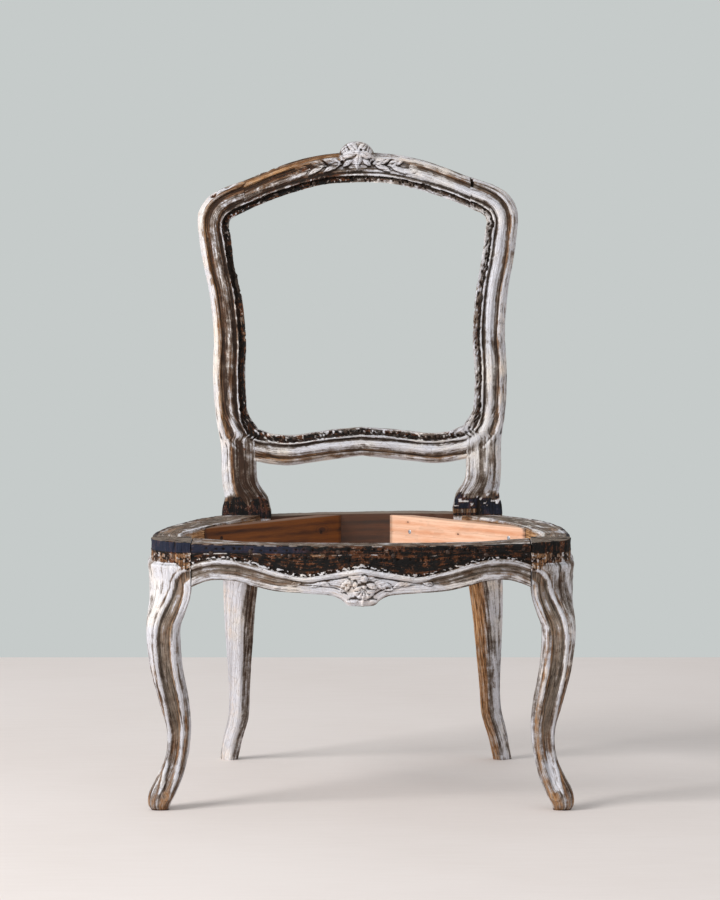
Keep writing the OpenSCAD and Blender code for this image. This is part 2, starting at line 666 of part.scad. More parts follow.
module front_tacks(grow = 0) {
    for (t = FRONT_TACKS)
        tack([t[0] * rail_end / 234, front_face(t[0] * rail_end / 234), seat_h - t[1]], grow);
}

module crest_tacks(grow = 0) {
    for (share = CREST_TACKS) {
        x = share * crest_joint;
        z = crest_inner(x) + rebate_w / 2;
        tack([x, back_depth(z) + rebate_d, z], grow);
    }
}

module lower_tacks(grow = 0) {
    for (share = LOWER_TACKS) {
        x = share * lower_joint;
        z = seat_h + curve(LOWER_TOP, abs(share)) - rebate_w / 2;
        tack([x, back_depth(z) + rebate_d, z], grow);
    }
}

module upholstery_tacks() {
    color(RUST)
        in_frame() {
            front_tacks();
            racked() {
                crest_tacks();
                lower_tacks();
            }
        }
}

front_leg(LEFT);  // front_leg_left
front_leg(RIGHT);  // front_leg_right
rear_post(LEFT);  // rear_post_left
rear_post(RIGHT);  // rear_post_right
front_rail();
side_rail(LEFT);  // side_rail_left
side_rail(RIGHT);  // side_rail_right
back_rail();
crest_rail();
lower_back_rail();
brace(LEFT);  // brace_left
brace(RIGHT);  // brace_right
brace_screws();
joint_pegs();
upholstery_tacks();
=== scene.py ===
"""The weathered surfaces of a Rococo side chair frame that has lost its upholstery.

Shapes are worked out in the joiner's own frame, in millimetres: across from the middle, depth behind the
front feet, and height. Skin.build moves them to the chair's frame, in metres. Left and right are as seen by
someone who stands in front of the chair. The back frame has racked to the left as one piece.
"""

import logging
import math
from dataclasses import dataclass, field
from enum import Enum
from typing import Callable, Sequence

import bmesh
import bpy
import numpy as np
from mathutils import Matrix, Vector


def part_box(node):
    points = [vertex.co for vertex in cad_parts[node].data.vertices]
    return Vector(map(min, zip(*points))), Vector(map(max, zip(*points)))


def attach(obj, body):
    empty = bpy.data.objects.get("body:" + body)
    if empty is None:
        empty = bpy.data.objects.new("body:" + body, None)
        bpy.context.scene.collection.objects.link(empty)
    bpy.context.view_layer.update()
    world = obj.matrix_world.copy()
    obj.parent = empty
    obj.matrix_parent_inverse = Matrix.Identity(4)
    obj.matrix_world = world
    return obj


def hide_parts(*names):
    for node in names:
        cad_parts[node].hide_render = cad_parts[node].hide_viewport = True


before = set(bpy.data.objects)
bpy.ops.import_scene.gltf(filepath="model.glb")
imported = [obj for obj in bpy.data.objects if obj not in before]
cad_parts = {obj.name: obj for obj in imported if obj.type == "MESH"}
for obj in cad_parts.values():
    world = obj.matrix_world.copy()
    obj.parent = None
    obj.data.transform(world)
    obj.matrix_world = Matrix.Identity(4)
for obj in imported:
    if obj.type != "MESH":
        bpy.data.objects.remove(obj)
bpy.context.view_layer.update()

log = logging.getLogger("chair")
Rows = Sequence[Sequence[float]]
Array = np.ndarray
Socket = bpy.types.NodeSocket
Finish = bpy.types.Material
Piece = bpy.types.Object
MM = 0.001


class Side(Enum):
    """Which half of the chair a piece belongs to, as a sign across."""

    LEFT = -1
    RIGHT = 1


# ---- curves and noise


def ease(share: Array | float) -> Array:
    """Smooth step from 0 to 1."""
    held = np.clip(share, 0.0, 1.0)
    return held * held * (3 - 2 * held)


def mix(low: Array | float, high: Array | float, share: Array | float) -> Array:
    """Value between low and high."""
    return low + (high - low) * share


def hump(share: Array | float) -> Array:
    """Round bump, 1 in the middle and 0 from -1 outwards."""
    held = np.clip(np.abs(share), 0.0, 1.0)
    return (1 + np.cos(np.pi * held)) / 2


def within(value: Array, low: float, high: float, soft: float) -> Array:
    """1 between low and high, falling to 0 over a soft edge."""
    return ease((value - low) / soft + 0.5) * ease((high - value) / soft + 0.5)


def curve(rows: Rows, at: Array | float) -> Array:
    """Smooth curve through rows.

    Args:
        rows: Pairs of place and value, in order of place.
        at: Places to read.

    Returns:
        The values there.
    """
    place, value = np.array(rows, float).T
    index = np.arange(len(place))
    before, after = np.maximum(index - 1, 0), np.minimum(index + 1, len(place) - 1)
    slope = (value[after] - value[before]) / (place[after] - place[before])
    at = np.asarray(at, float)
    i = np.clip(np.searchsorted(place, at, side="right") - 1, 0, len(place) - 2)
    width = place[i + 1] - place[i]
    s = np.clip((at - place[i]) / width, 0, 1)
    start = value[i] * (1 + 2 * s) * (1 - s) ** 2 + slope[i] * width * s * (1 - s) ** 2
    return start + value[i + 1] * s * s * (3 - 2 * s) - slope[i + 1] * width * s * s * (1 - s)


def tone(rows: Rows, at: Array) -> Array:
    """Straight-line values at places through rows of place and value."""
    place, value = np.array(rows, float).T
    return np.interp(at, place, value)


def steps(count: int) -> Array:
    """A row of that many shares, from 0 up to but not at 1."""
    return np.linspace(0, 1, count, endpoint=False)[None, :]


def joined(*columns: Array) -> Array:
    """Points from their coordinates."""
    return np.stack(np.broadcast_arrays(*columns), axis=-1)


def distance_along(points: Array) -> Array:
    """How far along a line each of its points lies."""
    return np.r_[0, np.cumsum(np.linalg.norm(np.diff(points, axis=0), axis=1))]


def outline(corners: Array, counts: Sequence[int]) -> Array:
    """Points round a closed outline, so many on each of its sides.

    Args:
        corners: The outline's corners, in order.
        counts: How many points each side gets.

    Returns:
        The points, in order.
    """
    following = np.roll(corners, -1, axis=0)
    return np.concatenate([mix(start, end, steps(count).T)
                           for start, end, count in zip(corners, following, counts)])


def ring_of(*parts: tuple[Array | float, Array | float]) -> tuple[Array, Array]:
    """Joins the parts of rings that are told in two coordinates.

    Args:
        parts: Each part's distance from the face and height, by station and place.

    Returns:
        The distances and the heights.
    """
    stations = max(np.shape(value)[0] for part in parts for value in part if np.ndim(value) == 2)
    spread = [np.broadcast_arrays(*part, np.zeros((stations, 1))) for part in parts]
    return tuple(np.concatenate([part[k] for part in spread], axis=1) for k in (0, 1))


def moulding(at: Array, knots: Sequence[Array | float], depths: Sequence[float]) -> Array:
    """Depth of a moulding, eased from knot to knot, so that its beads and hollows are round.

    Args:
        at: Distances across the moulding.
        knots: Places of the crests and hollows, each a number or one value per point.
        depths: Depth at each knot.

    Returns:
        The depth at each distance.
    """
    total = np.full(np.shape(at), float(depths[0]))
    for k in range(len(knots) - 1):
        total += (depths[k + 1] - depths[k]) * ease((at - knots[k]) / (knots[k + 1] - knots[k]))
    return total


class Lattice:
    """Smooth seeded noise in space, from 0 to 1."""

    def __init__(self, seed: int, size: int = 32) -> None:
        """Draws the lattice's values once."""
        self.size = size
        self.values = np.random.default_rng(seed).random((size, size, size))

    def read(self, at: Array, scale: float | Sequence[float]) -> Array:
        """Noise at points.

        Args:
            at: Points, the last axis holding three coordinates.
            scale: Size of one swell, alike or per axis.

        Returns:
            One value per point.
        """
        place = at / np.asarray(scale, float)
        cell = np.floor(place).astype(int)
        part = ease(place - cell)
        total = np.zeros(place.shape[:-1])
        for corner in range(8):
            step = np.array([corner & 1, corner >> 1 & 1, corner >> 2 & 1])
            weight = np.prod(np.where(step == 1, part, 1 - part), axis=-1)
            key = (cell + step) % self.size
            total += weight * self.values[key[..., 0], key[..., 1], key[..., 2]]
        return total

    def layered(self, at: Array, scale: float | Sequence[float], octaves: int = 3) -> Array:
        """Noise with finer noise on it.

        Args:
            at: Points in millimetres.
            scale: Size of the broadest noise.
            octaves: How many layers, each half as broad as the last.

        Returns:
            Values from 0 to 1.
        """
        total, weight = np.zeros(at.shape[:-1]), 0.0
        for k in range(octaves):
            total += self.read(at + 7.3 * k, np.asarray(scale, float) / 2**k) / 2**k
            weight += 1 / 2**k
        return total / weight


SWELL = Lattice(7)
FLECK = Lattice(23)


def specks(at: Array, size: float | Sequence[float], octaves: int, level: float, sharp: float) -> Array:
    """Specks or scraps where the fine noise rises over a level, 1 on a speck."""
    return ease((FLECK.layered(at, size, octaves) - level) * sharp)


def pits(along: Array, across: Array, spacing: float, row: float, radius: float, seed: int) -> Array:
    """Tack holes in a row, at uneven spacing.

    Args:
        along: Distance along the row at each point.
        across: Distance across it.
        spacing: Usual distance from hole to hole.
        row: Where the row runs, across.
        radius: Radius of a hole.
        seed: Which draw of uneven places.

    Returns:
        1 in a hole and 0 outside it, with a soft edge.
    """
    draw = np.random.default_rng(seed).random((4096, 3))
    cell = np.floor(along / spacing).astype(int)
    found = np.zeros(np.shape(along))
    for near in (-1, 0, 1):
        pick = draw[(cell + near) % 4096]
        centre = (cell + near + 0.15 + 0.7 * pick[..., 0]) * spacing
        offset = row + (pick[..., 1] - 0.5) * 3.2
        size = radius * (0.6 + 0.7 * pick[..., 2]) * (pick[..., 2] > 0.22)
        distance = np.hypot(along - centre, across - offset)
        found = np.maximum(found, ease((size - distance) / (0.5 * radius) + 0.5) * (size > 0))
    return found


# ---- the chair's sizes


@dataclass(frozen=True)
class ChairSizes:
    """Driving sizes in millimetres, and what follows from them. The seat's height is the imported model's.

    Attributes:
        corner_x: Half width of the seat.
        rail_end: Where the front rail meets a leg.
        post_out: A rear post's outer face at the seat, and post_in its inner face.
        crest_joint: Where the crest rail meets a shoulder.
        lower_joint: Where the lower back rail's mouldings end.
        block_low: Underside of the rear posts' seat block.
        mid_depth: Depth of the chair frame's origin.
    """

    seat_h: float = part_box("side_rail_left")[1].z / MM
    knee_span: float = 590.0
    post_depth: float = 392.0
    front_bow: float = 32.0
    front_rail_t: float = 44.0
    bulge_left: float = -8.0
    bulge_right: float = 8.0
    corner_block: float = 55.5
    knee_w: float = 47.0
    ankle_w: float = 31.0
    leg_proud: float = 2.0
    crest_h: float = 889.0
    waist_span: float = 424.0
    stile_w: float = 46.5
    base_w: float = 70.0
    neck_w: float = 50.5
    back_t: float = 29.0
    back_rake: float = 130.0
    rack_angle: float = 0.85
    rebate_w: float = 9.0
    rebate_d: float = 8.0
    tack_r: float = 3.2
    brace_t: float = 20.0
    front_depth: float = -25.0
    block_back: float = 85.0
    rail_t: float = 42.5
    post_t: float = 46.0
    pivot_h: float = 470.0
    knee_depth: float = 24.0

    shoulder_drop: float = 118.0
    peg_drop: float = 17.0
    lower_peg_up: float = 102.0
    corner_x: float = knee_span / 2 - 5.5
    rail_end: float = corner_x - corner_block
    post_out: float = waist_span / 2 - 9.5
    post_in: float = post_out - base_w
    crest_joint: float = waist_span / 2 - 47
    lower_joint: float = waist_span / 2 - 61
    block_low: float = seat_h - 69
    back_span: float = crest_h - seat_h
    front_most: float = front_depth - 10
    rear_most: float = post_depth + back_rake + back_t + 3
    mid_depth: float = (front_most + rear_most) / 2


SIZES = ChairSizes()
SEAT_H = SIZES.seat_h
CREST_H = SIZES.crest_h


def racked(points: Array) -> Array:
    """Points of the true back frame, turned to where it has racked to.

    Args:
        points: Points in millimetres.

    Returns:
        The turned points.
    """
    angle = math.radians(SIZES.rack_angle)
    across, up = points[..., 0], points[..., 2] - SIZES.pivot_h
    moved = points.copy()
    moved[..., 0] = across * math.cos(angle) - up * math.sin(angle)
    moved[..., 2] = SIZES.pivot_h + across * math.sin(angle) + up * math.cos(angle)
    return moved


# ---- skins


MARKS = ("paint", "warm", "stain", "grime_and_shade", "indigo", "grey")


def normals_of(rings: Array) -> Array:
    """Outward unit normals of closed rings, found from their neighbours.

    Args:
        rings: Closed rings of points.

    Returns:
        One unit normal a point.
    """
    along = np.gradient(rings, axis=0)
    around = np.roll(rings, -1, axis=1) - np.roll(rings, 1, axis=1)
    found = np.cross(along, around)
    found /= np.maximum(np.linalg.norm(found, axis=-1, keepdims=True), 1e-9)
    outward = np.sum(found * (rings - rings.mean(axis=1, keepdims=True)), axis=-1)
    return found * np.sign(np.mean(outward))


def hollowness(rings: Array, normals: Array, reach: int = 3) -> Array:
    """How far each point lies below its neighbours round the ring, in millimetres; negative on a ridge."""
    near = sum(np.roll(rings, k, axis=1) + np.roll(rings, -k, axis=1) for k in range(1, reach + 1))
    return np.sum((near / (2 * reach) - rings) * normals, axis=-1)


@dataclass
class Skin:
    """A closed surface of rings, and what the finish reads at each of its points.

    Attributes:
        rings: Points in millimetres, by station and place round it.
        marks: For each name in MARKS, a value from 0 to 1 at each point.
    """

    SHARP = 48.0

    rings: Array
    marks: dict[str, Array] = field(default_factory=dict)

    def push(self, amount: Array) -> None:
        """Moves each point outwards along its normal."""
        self.rings = self.rings + normals_of(self.rings) * amount[..., None]

    def mark(self, **values: Array | float) -> None:
        """Sets marks by name, held between 0 and 1."""
        for name, value in values.items():
            self.marks[name] = np.clip(np.broadcast_to(value, self.rings.shape[:2]), 0, 1).astype(float)

    def is_first(self, count: int) -> Array:
        """Whether each point of a ring is one of its first."""
        return (np.arange(self.rings.shape[1]) < count)[None, :]

    def fibres(self, across: float, along: float, seed: float = 0.0) -> Array:
        """Noise drawn out along the wood's grain.

        Args:
            across: Width of one streak, in millimetres.
            along: Its length.
            seed: Shift between one draw and another.

        Returns:
            A value from -0.5 to 0.5 at each point.
        """
        closed = np.concatenate([self.rings, self.rings[:, :1]], axis=1)
        round_it = np.linalg.norm(np.diff(closed, axis=1), axis=-1).mean(axis=0)
        turn = np.r_[0, np.cumsum(round_it)[:-1]] * (2 * math.pi / round_it.sum())
        radius = round_it.sum() / (2 * math.pi)
        middle = self.rings.mean(axis=1)
        run = distance_along(middle)[:, None]
        at = joined(radius * np.cos(turn), radius * np.sin(turn), run)
        return FLECK.layered(at + seed, (across, across, along), 3) - 0.5

    def weather(self, wear: float = 1.0) -> None:
        """Uneven wear: broad swells, raised grain and dents; hollows get dark dirt and painted shade and lose
        some paint, and ridges gain a little paint as a painted highlight.

        Args:
            wear: How strongly the surface is displaced.
        """
        at = self.rings
        swell = SWELL.layered(at, 26.0) - 0.5
        dent = FLECK.layered(at, 6.0) - 0.5
        grain = self.fibres(4.5, 70.0)
        self.push(wear * (0.9 * swell + 0.8 * dent + 1.1 * grain))
        # Painted shade and highlight: points below their neighbours are darkened and lose paint, points on
        # ridges gain paint.
        hollow = hollowness(self.rings, normals_of(self.rings))
        self.mark(grime_and_shade=self.marks.get("grime_and_shade", 0) + ease(hollow / 1.0) * 0.9)
        ridge = ease(-hollow / 0.9)
        streaks = self.fibres(6.0, 90.0, 50.0)
        self.mark(paint=self.marks["paint"] + 0.12 * ridge - 0.3 * ease(hollow / 1.0) + 0.6 * streaks)
        self.mark(warm=self.marks["warm"] + 1.2 * self.fibres(9.0, 120.0, 90.0))

    def closed(self) -> tuple[Array, dict[str, Array], Array]:
        """Rings with their end faces.

        Returns:
            The rings, the marks that go with them, and which rows belong to an end face.
        """
        shares = np.array([0.94, 0.8, 0.6, 0.4, 0.2, 0.0])
        faces = []
        for end, order in ((0, shares[::-1]), (-1, shares)):
            edge = self.rings[end]
            hub = (edge.min(axis=0) + edge.max(axis=0)) / 2
            faces.append(hub + (edge - hub) * order[:, None, None])
        rings = np.concatenate([faces[0], self.rings, faces[1]])
        place = np.arange(len(rings)) - len(shares)
        row = np.clip(place, 0, len(self.rings) - 1)
        return rings, {name: value[row] for name, value in self.marks.items()}, row != place

    def build(self, name: str, finish: Finish) -> Piece:
        """Makes the mesh of a woven grid, closed along its seam and at its ends.

        Args:
            name: Name of the piece.
            finish: Its material.

        Returns:
            The piece, at the origin, with its map "grain" and its marks.
        """
        rings, marks, is_cap = self.closed()
        stations, around = rings.shape[:2]
        bm = bmesh.new()
        bmesh.ops.create_grid(bm, x_segments=around, y_segments=stations - 1, size=1)
        mesh = bpy.data.meshes.new(name)
        bm.to_mesh(mesh)
        wrapped = np.concatenate([rings, rings[:, :1]], axis=1)
        moved = (wrapped - [0, SIZES.mid_depth, 0]) * MM
        mesh.vertices.foreach_set("co", moved.reshape(-1).astype(np.float32))
        for key, value in marks.items():
            full = np.concatenate([value, value[:, :1]], axis=1)
            layer = mesh.attributes.new(key, "FLOAT", "POINT")
            layer.data.foreach_set("value", full.reshape(-1).astype(np.float32))
        step_round = np.linalg.norm(np.diff(wrapped, axis=1), axis=-1).mean(axis=0)
        step_along = np.linalg.norm(np.diff(rings, axis=0), axis=-1).mean(axis=1)
        u = np.broadcast_to(np.r_[0, np.cumsum(step_round)], wrapped.shape[:2]).copy()
        v = np.broadcast_to(np.r_[0, np.cumsum(step_along)][:, None], wrapped.shape[:2]).copy()
        middle = wrapped.mean(axis=(0, 1))
        u[is_cap] = (wrapped - middle)[is_cap][..., 0]
        v[is_cap] = (wrapped - middle)[is_cap][..., 1]
        corner = np.zeros(len(mesh.loops), np.int32)
        mesh.loops.foreach_get("vertex_index", corner)
        grain = joined(u.reshape(-1)[corner], v.reshape(-1)[corner]) * MM
        mesh.uv_layers.new(name="grain").data.foreach_set("uv", grain.reshape(-1).astype(np.float32))
        bm.clear()
        bm.from_mesh(mesh)
        bm.verts.ensure_lookup_table()
        seam = {row * (around + 1) + k for row in range(stations) for k in (0, around)}
        for row in (0, stations - 1):
            seam |= {row * (around + 1) + k for k in range(around + 1)}
        bmesh.ops.remove_doubles(bm, verts=[bm.verts[k] for k in sorted(seam)], dist=1e-6)
        bmesh.ops.recalc_face_normals(bm, faces=bm.faces)
        bm.to_mesh(mesh)
        bm.free()
        return show(mesh, finish, self.SHARP)

    def piece(self, node: str, finish: Finish, slot: str = "painted_wood",
              kind: str = "weathered") -> Piece:
        """Builds the piece that stands for a node."""
        return fit(self.build(f"{node}_{kind}", finish), node)


def show(mesh: bpy.types.Mesh, finish: Finish, sharp: float = 0.0) -> Piece:
    """Puts a mesh in the scene under its own name.

    Args:
        mesh: The finished mesh.
        finish: Its material.
        sharp: Angle in degrees past which an edge is shaded sharp; at 0 every face is flat.

    Returns:
        The piece, at the origin.
    """
    if sharp:
        mesh.polygons.foreach_set("use_smooth", np.ones(len(mesh.polygons), bool))
        mesh.set_sharp_from_angle(angle=math.radians(sharp))
    mesh.materials.append(finish)
    piece = bpy.data.objects.new(mesh.name, mesh)
    bpy.context.scene.collection.objects.link(piece)
    return piece


def fit(piece: Piece, node: str | None) -> Piece:
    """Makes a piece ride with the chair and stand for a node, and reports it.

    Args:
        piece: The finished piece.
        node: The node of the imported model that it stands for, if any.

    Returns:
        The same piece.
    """
    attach(piece, "root")
    if node:
        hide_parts(node)
    log.info("%s: %d faces", piece.name, len(piece.data.polygons))
    return piece


# ---- finishes


def shade(code: str) -> tuple[float, float, float, float]:
    """Linear colour of a painter's hexadecimal code.

    Args:
        code: Six hexadecimal digits after a hash.

    Returns:
        Red, green, blue and opacity.
    """
    parts = [int(code[k : k + 2], 16) / 255 for k in (1, 3, 5)]
    linear = [p / 12.92 if p <= 0.04045 else ((p + 0.055) / 1.055) ** 2.4 for p in parts]
    return (*linear, 1.0)


Value = float | str | tuple | Vector | Socket


class Graph:
    """The nodes of one material, wired by short calls."""

    def __init__(self, name: str) -> None:
        """Starts an empty material with its output.

        Args:
            name: The material's name.
        """
        self.material = bpy.data.materials.new(name)
        self.material.use_nodes = True
        self.tree = self.material.node_tree
        self.tree.nodes.clear()
        self.output = self.tree.nodes.new("ShaderNodeOutputMaterial")

    def add(self, kind: str, inputs: dict[int | str, Value], out: int | str = 0, **settings) -> Socket:
        """Adds a node.

        Args:
            kind: Its type, without the shared start of the name.
            inputs: Values or sockets for its inputs, by place or name.
            out: Which output to return.
            settings: The node's own settings.

        Returns:
            The chosen output.
        """
        node = self.tree.nodes.new("ShaderNode" + kind)
        for key, value in settings.items():
            setattr(node, key, value)
        for key, value in inputs.items():
            if isinstance(value, Socket):
                self.tree.links.new(value, node.inputs[key])
            else:
                node.inputs[key].default_value = value
        return node.outputs[out]

    def math(self, operation: str, *values: Value, clamp: bool = False) -> Socket:
        """Arithmetic on one to three values."""
        return self.add("Math", dict(enumerate(values)), operation=operation, use_clamp=clamp)

    def total(self, *terms: tuple[Value, float], start: float = 0.0) -> Socket:
        """Weighted sum of sockets, plus a start.

        Args:
            *terms: Pairs of a value and its weight.
            start: What the sum starts from.

        Returns:
            Socket of the sum.
        """
        result: Value = start
        for value, weight in terms:
            result = self.math("MULTIPLY_ADD", value, weight, result)
        return result

    def step(self, value: Value, low: float, high: float) -> Socket:
        """Smooth step of a socket between low and high."""
        return self.add("MapRange", {0: value, 1: low, 2: high}, interpolation_type="SMOOTHSTEP")

    def less(self, value: Value) -> Socket:
        """What a share leaves of 1."""
        return self.math("SUBTRACT", 1.0, value)

    def blend(self, share: Value, low: Value, high: Value, most: float = 1.0) -> Socket:
        """Lays one colour over another; a colour may be given by its code.

        Args:
            share: How much of the upper colour shows.
            low: The colour below.
            high: The colour above.
            most: How much of it shows where the share is 1.

        Returns:
            The mixed colour.
        """
        if most < 1.0:
            share = self.math("MULTIPLY", share, most)
        below, above = (shade(colour) if isinstance(colour, str) else colour for colour in (low, high))
        return self.add("Mix", {0: share, 6: below, 7: above}, out=2, data_type="RGBA")

    def mark(self, name: str) -> Socket:
        """One of the piece's marks."""
        return self.add("Attribute", {}, out="Fac", attribute_name=name)

    def place(self, scale: Sequence[float] = (1, 1, 1)) -> Socket:
        """Object coordinates, scaled per metre."""
        own = self.add("TexCoord", {}, out="Object")
        return self.add("Mapping", {"Vector": own, "Scale": tuple(scale)})

    def grain(self, across: float, along: float) -> Socket:
        """The piece's grain map, scaled per metre across and along the wood."""
        own = self.add("UVMap", {}, uv_map="grain")
        return self.add("Mapping", {"Vector": own, "Scale": (across, along, 1.0)})

    def noise(self, at: Value, scale: float = 1.0, detail: float = 3.0, rough: float = 0.55,
              twist: float = 0.0) -> Socket:
        """Fractal noise from 0 to 1."""
        return self.add("TexNoise", {"Vector": at, "Scale": scale, "Detail": detail, "Roughness": rough,
                                     "Distortion": twist})

    def cracks(self, at: Value, scale: float = 1.0, width: float = 0.04) -> Socket:
        """Thin lines between cells, 1 on a line."""
        edge = self.add("TexVoronoi", {"Vector": at, "Scale": scale}, feature="DISTANCE_TO_EDGE")
        return self.less(self.step(edge, 0.0, width))

    def finish(self, colour: Value, rough: Value, height: Value, lift: float, metal: float = 0.0,
               gloss: float = 0.35) -> Finish:
        """Closes the material with its surface.

        Args:
            colour: Base colour.
            rough: Roughness.
            height: Relief from 0 to 1.
            lift: Height of that relief in metres.
            metal: Metallic share.
            gloss: Specular level.

        Returns:
            The material.
        """
        normal = self.add("Bump", {"Strength": 1.0, "Distance": lift, "Height": height})
        surface = self.add("BsdfPrincipled", {"Base Color": colour, "Roughness": rough, "Metallic": metal,
                                              "Specular IOR Level": gloss, "Normal": normal})
        self.tree.links.new(surface, self.output.inputs["Surface"])
        return self.material


@dataclass(frozen=True)
class PaintedWood:
    """Old oil paint, flaked off a carved hardwood, with tar-black stain where the cloth was tacked."""

    name: str = "flaking_paint_on_wood"
    dark_wood: str = "#3a2313"
    tan_wood: str = "#a9713f"
    pale_wood: str = "#cda274"
    grey_wood: str = "#8b7e70"
    paint: str = "#ebe5df"
    cool_paint: str = "#d9d8de"
    peach_paint: str = "#ecd2ba"
    old_wash: str = "#a3968a"
    black: str = "#0b0807"
    rust: str = "#63381b"
    indigo: str = "#20263a"
    # Dark brown for dirt in grain, checks, holes and joints, also used as painted shade in hollows.
    dirt_and_shade: str = "#22170f"

    def material(self) -> Finish:
        """Builds the layers from the wood up: wood, wash, paint, stain, then dark dirt with painted shade in
        hollows.

        Returns:
            The material.
        """
        g = Graph(self.name)
        paint, warm, stain, grime_and_shade, indigo, grey = (g.mark(name) for name in MARKS)
        streak = g.noise(g.grain(330, 13), detail=5, rough=0.68, twist=0.25)
        fibre = g.noise(g.grain(900, 34), detail=4, rough=0.65)
        fine = g.noise(g.grain(2200, 160), detail=3, rough=0.6)
        patch = g.noise(g.place(), scale=75, detail=5, rough=0.65)
        broad = g.noise(g.place(), scale=18, detail=3)
        speck = g.noise(g.place(), scale=520, detail=4, rough=0.7)
        grit = g.noise(g.place(), scale=230, detail=4, rough=0.75)
        checks = g.cracks(g.grain(240, 9), width=0.05)
        crazing = g.cracks(g.grain(300, 60), width=0.06)

        tan = g.total((warm, 1.0), (streak, 2.0), (fibre, 1.6), (patch, 0.8), start=-2.38)
        tan = g.step(tan, 0.0, 1.0)
        wood = g.blend(tan, self.dark_wood, self.tan_wood)
        wood = g.blend(g.step(g.total((tan, 0.6), (fibre, 1.4)), 1.05, 1.5), wood, self.pale_wood)
        greyed = g.total((grey, 1.0), (streak, -1.2), (patch, 0.9), (fibre, 0.8), start=-0.25)
        greyed = g.step(greyed, 0.3, 0.9)
        wood = g.blend(greyed, wood, self.grey_wood, 0.8)
        dark = g.less(g.step(g.total((fibre, 1.0), (streak, 0.7), (grit, 0.5)), 0.86, 1.12))
        wood = g.blend(dark, wood, self.dirt_and_shade, 0.75)
        wood = g.blend(checks, wood, self.dirt_and_shade, 0.6)

        cover = g.total((paint, 1.0), (patch, 1.1), (streak, 1.9), (fibre, 0.8), (speck, 0.55),
                        start=-2.18)
        washed = g.step(g.total((cover, 1.0), (fine, 0.4), start=-0.2), 0.05, 0.5)
        layer = g.blend(washed, wood, self.old_wash, 0.62)
        cool = g.step(g.total((broad, 1.0), (streak, 0.35)), 0.46, 0.76)
        peach = g.step(g.total((patch, 0.6), (broad, -0.5), (fibre, 0.8), (warm, 0.2)), 0.54, 0.88)
        coat = g.blend(cool, self.paint, self.cool_paint)
        coat = g.blend(peach, coat, self.peach_paint, 0.65)
        thin = g.step(g.total((fine, 0.6), (speck, 0.6)), 0.56, 0.84)
        coat = g.blend(thin, coat, self.old_wash, 0.5)
        coat = g.blend(crazing, coat, self.old_wash, 0.45)
        painted = g.step(cover, 0.36, 0.64)
        layer = g.blend(painted, layer, coat)
        rim = g.math("MULTIPLY", painted, g.less(painted))
        layer = g.blend(rim, layer, self.rust, 0.9)

        tarred = g.total((stain, 1.25), (patch, 1.0), (speck, 0.8), (streak, 0.6), start=-1.3)
        tarred = g.step(tarred, 0.35, 0.62)
        rusted = g.step(g.total((speck, 0.6), (streak, 1.0), (patch, 1.1)), 1.34, 1.52)
        tar = g.blend(rusted, self.black, self.rust)
        bare = g.step(g.total((speck, 0.9), (grit, 0.8), (patch, 0.7)), 1.36, 1.48)
        tar = g.blend(bare, tar, self.old_wash, 0.85)
        layer = g.blend(tarred, layer, tar)
        blued = g.step(g.total((indigo, 1.0), (streak, 1.0), (patch, 0.5), start=-0.75), 0.3, 0.75)
        layer = g.blend(blued, layer, self.indigo, 0.8)
        # Painted shade with real dirt: the dark layer darkens tack holes and joints with dirt, and hollows
        # and carving with painted shade.
        dirt_and_shade_share = g.step(g.total((grime_and_shade, 1.0), (speck, 0.6), (patch, 0.4), start=-0.5), 0.12, 0.9)
        layer = g.blend(dirt_and_shade_share, layer, self.dirt_and_shade, 0.88)

        height = g.total((painted, 0.4), (fibre, 0.5), (fine, 0.25), (speck, 0.5), (checks, -0.5),
                         (crazing, -0.12))
        rough = g.total((tarred, 0.1), (painted, -0.08), (speck, 0.15), start=0.74)
        return g.finish(layer, rough, height, lift=0.0011)


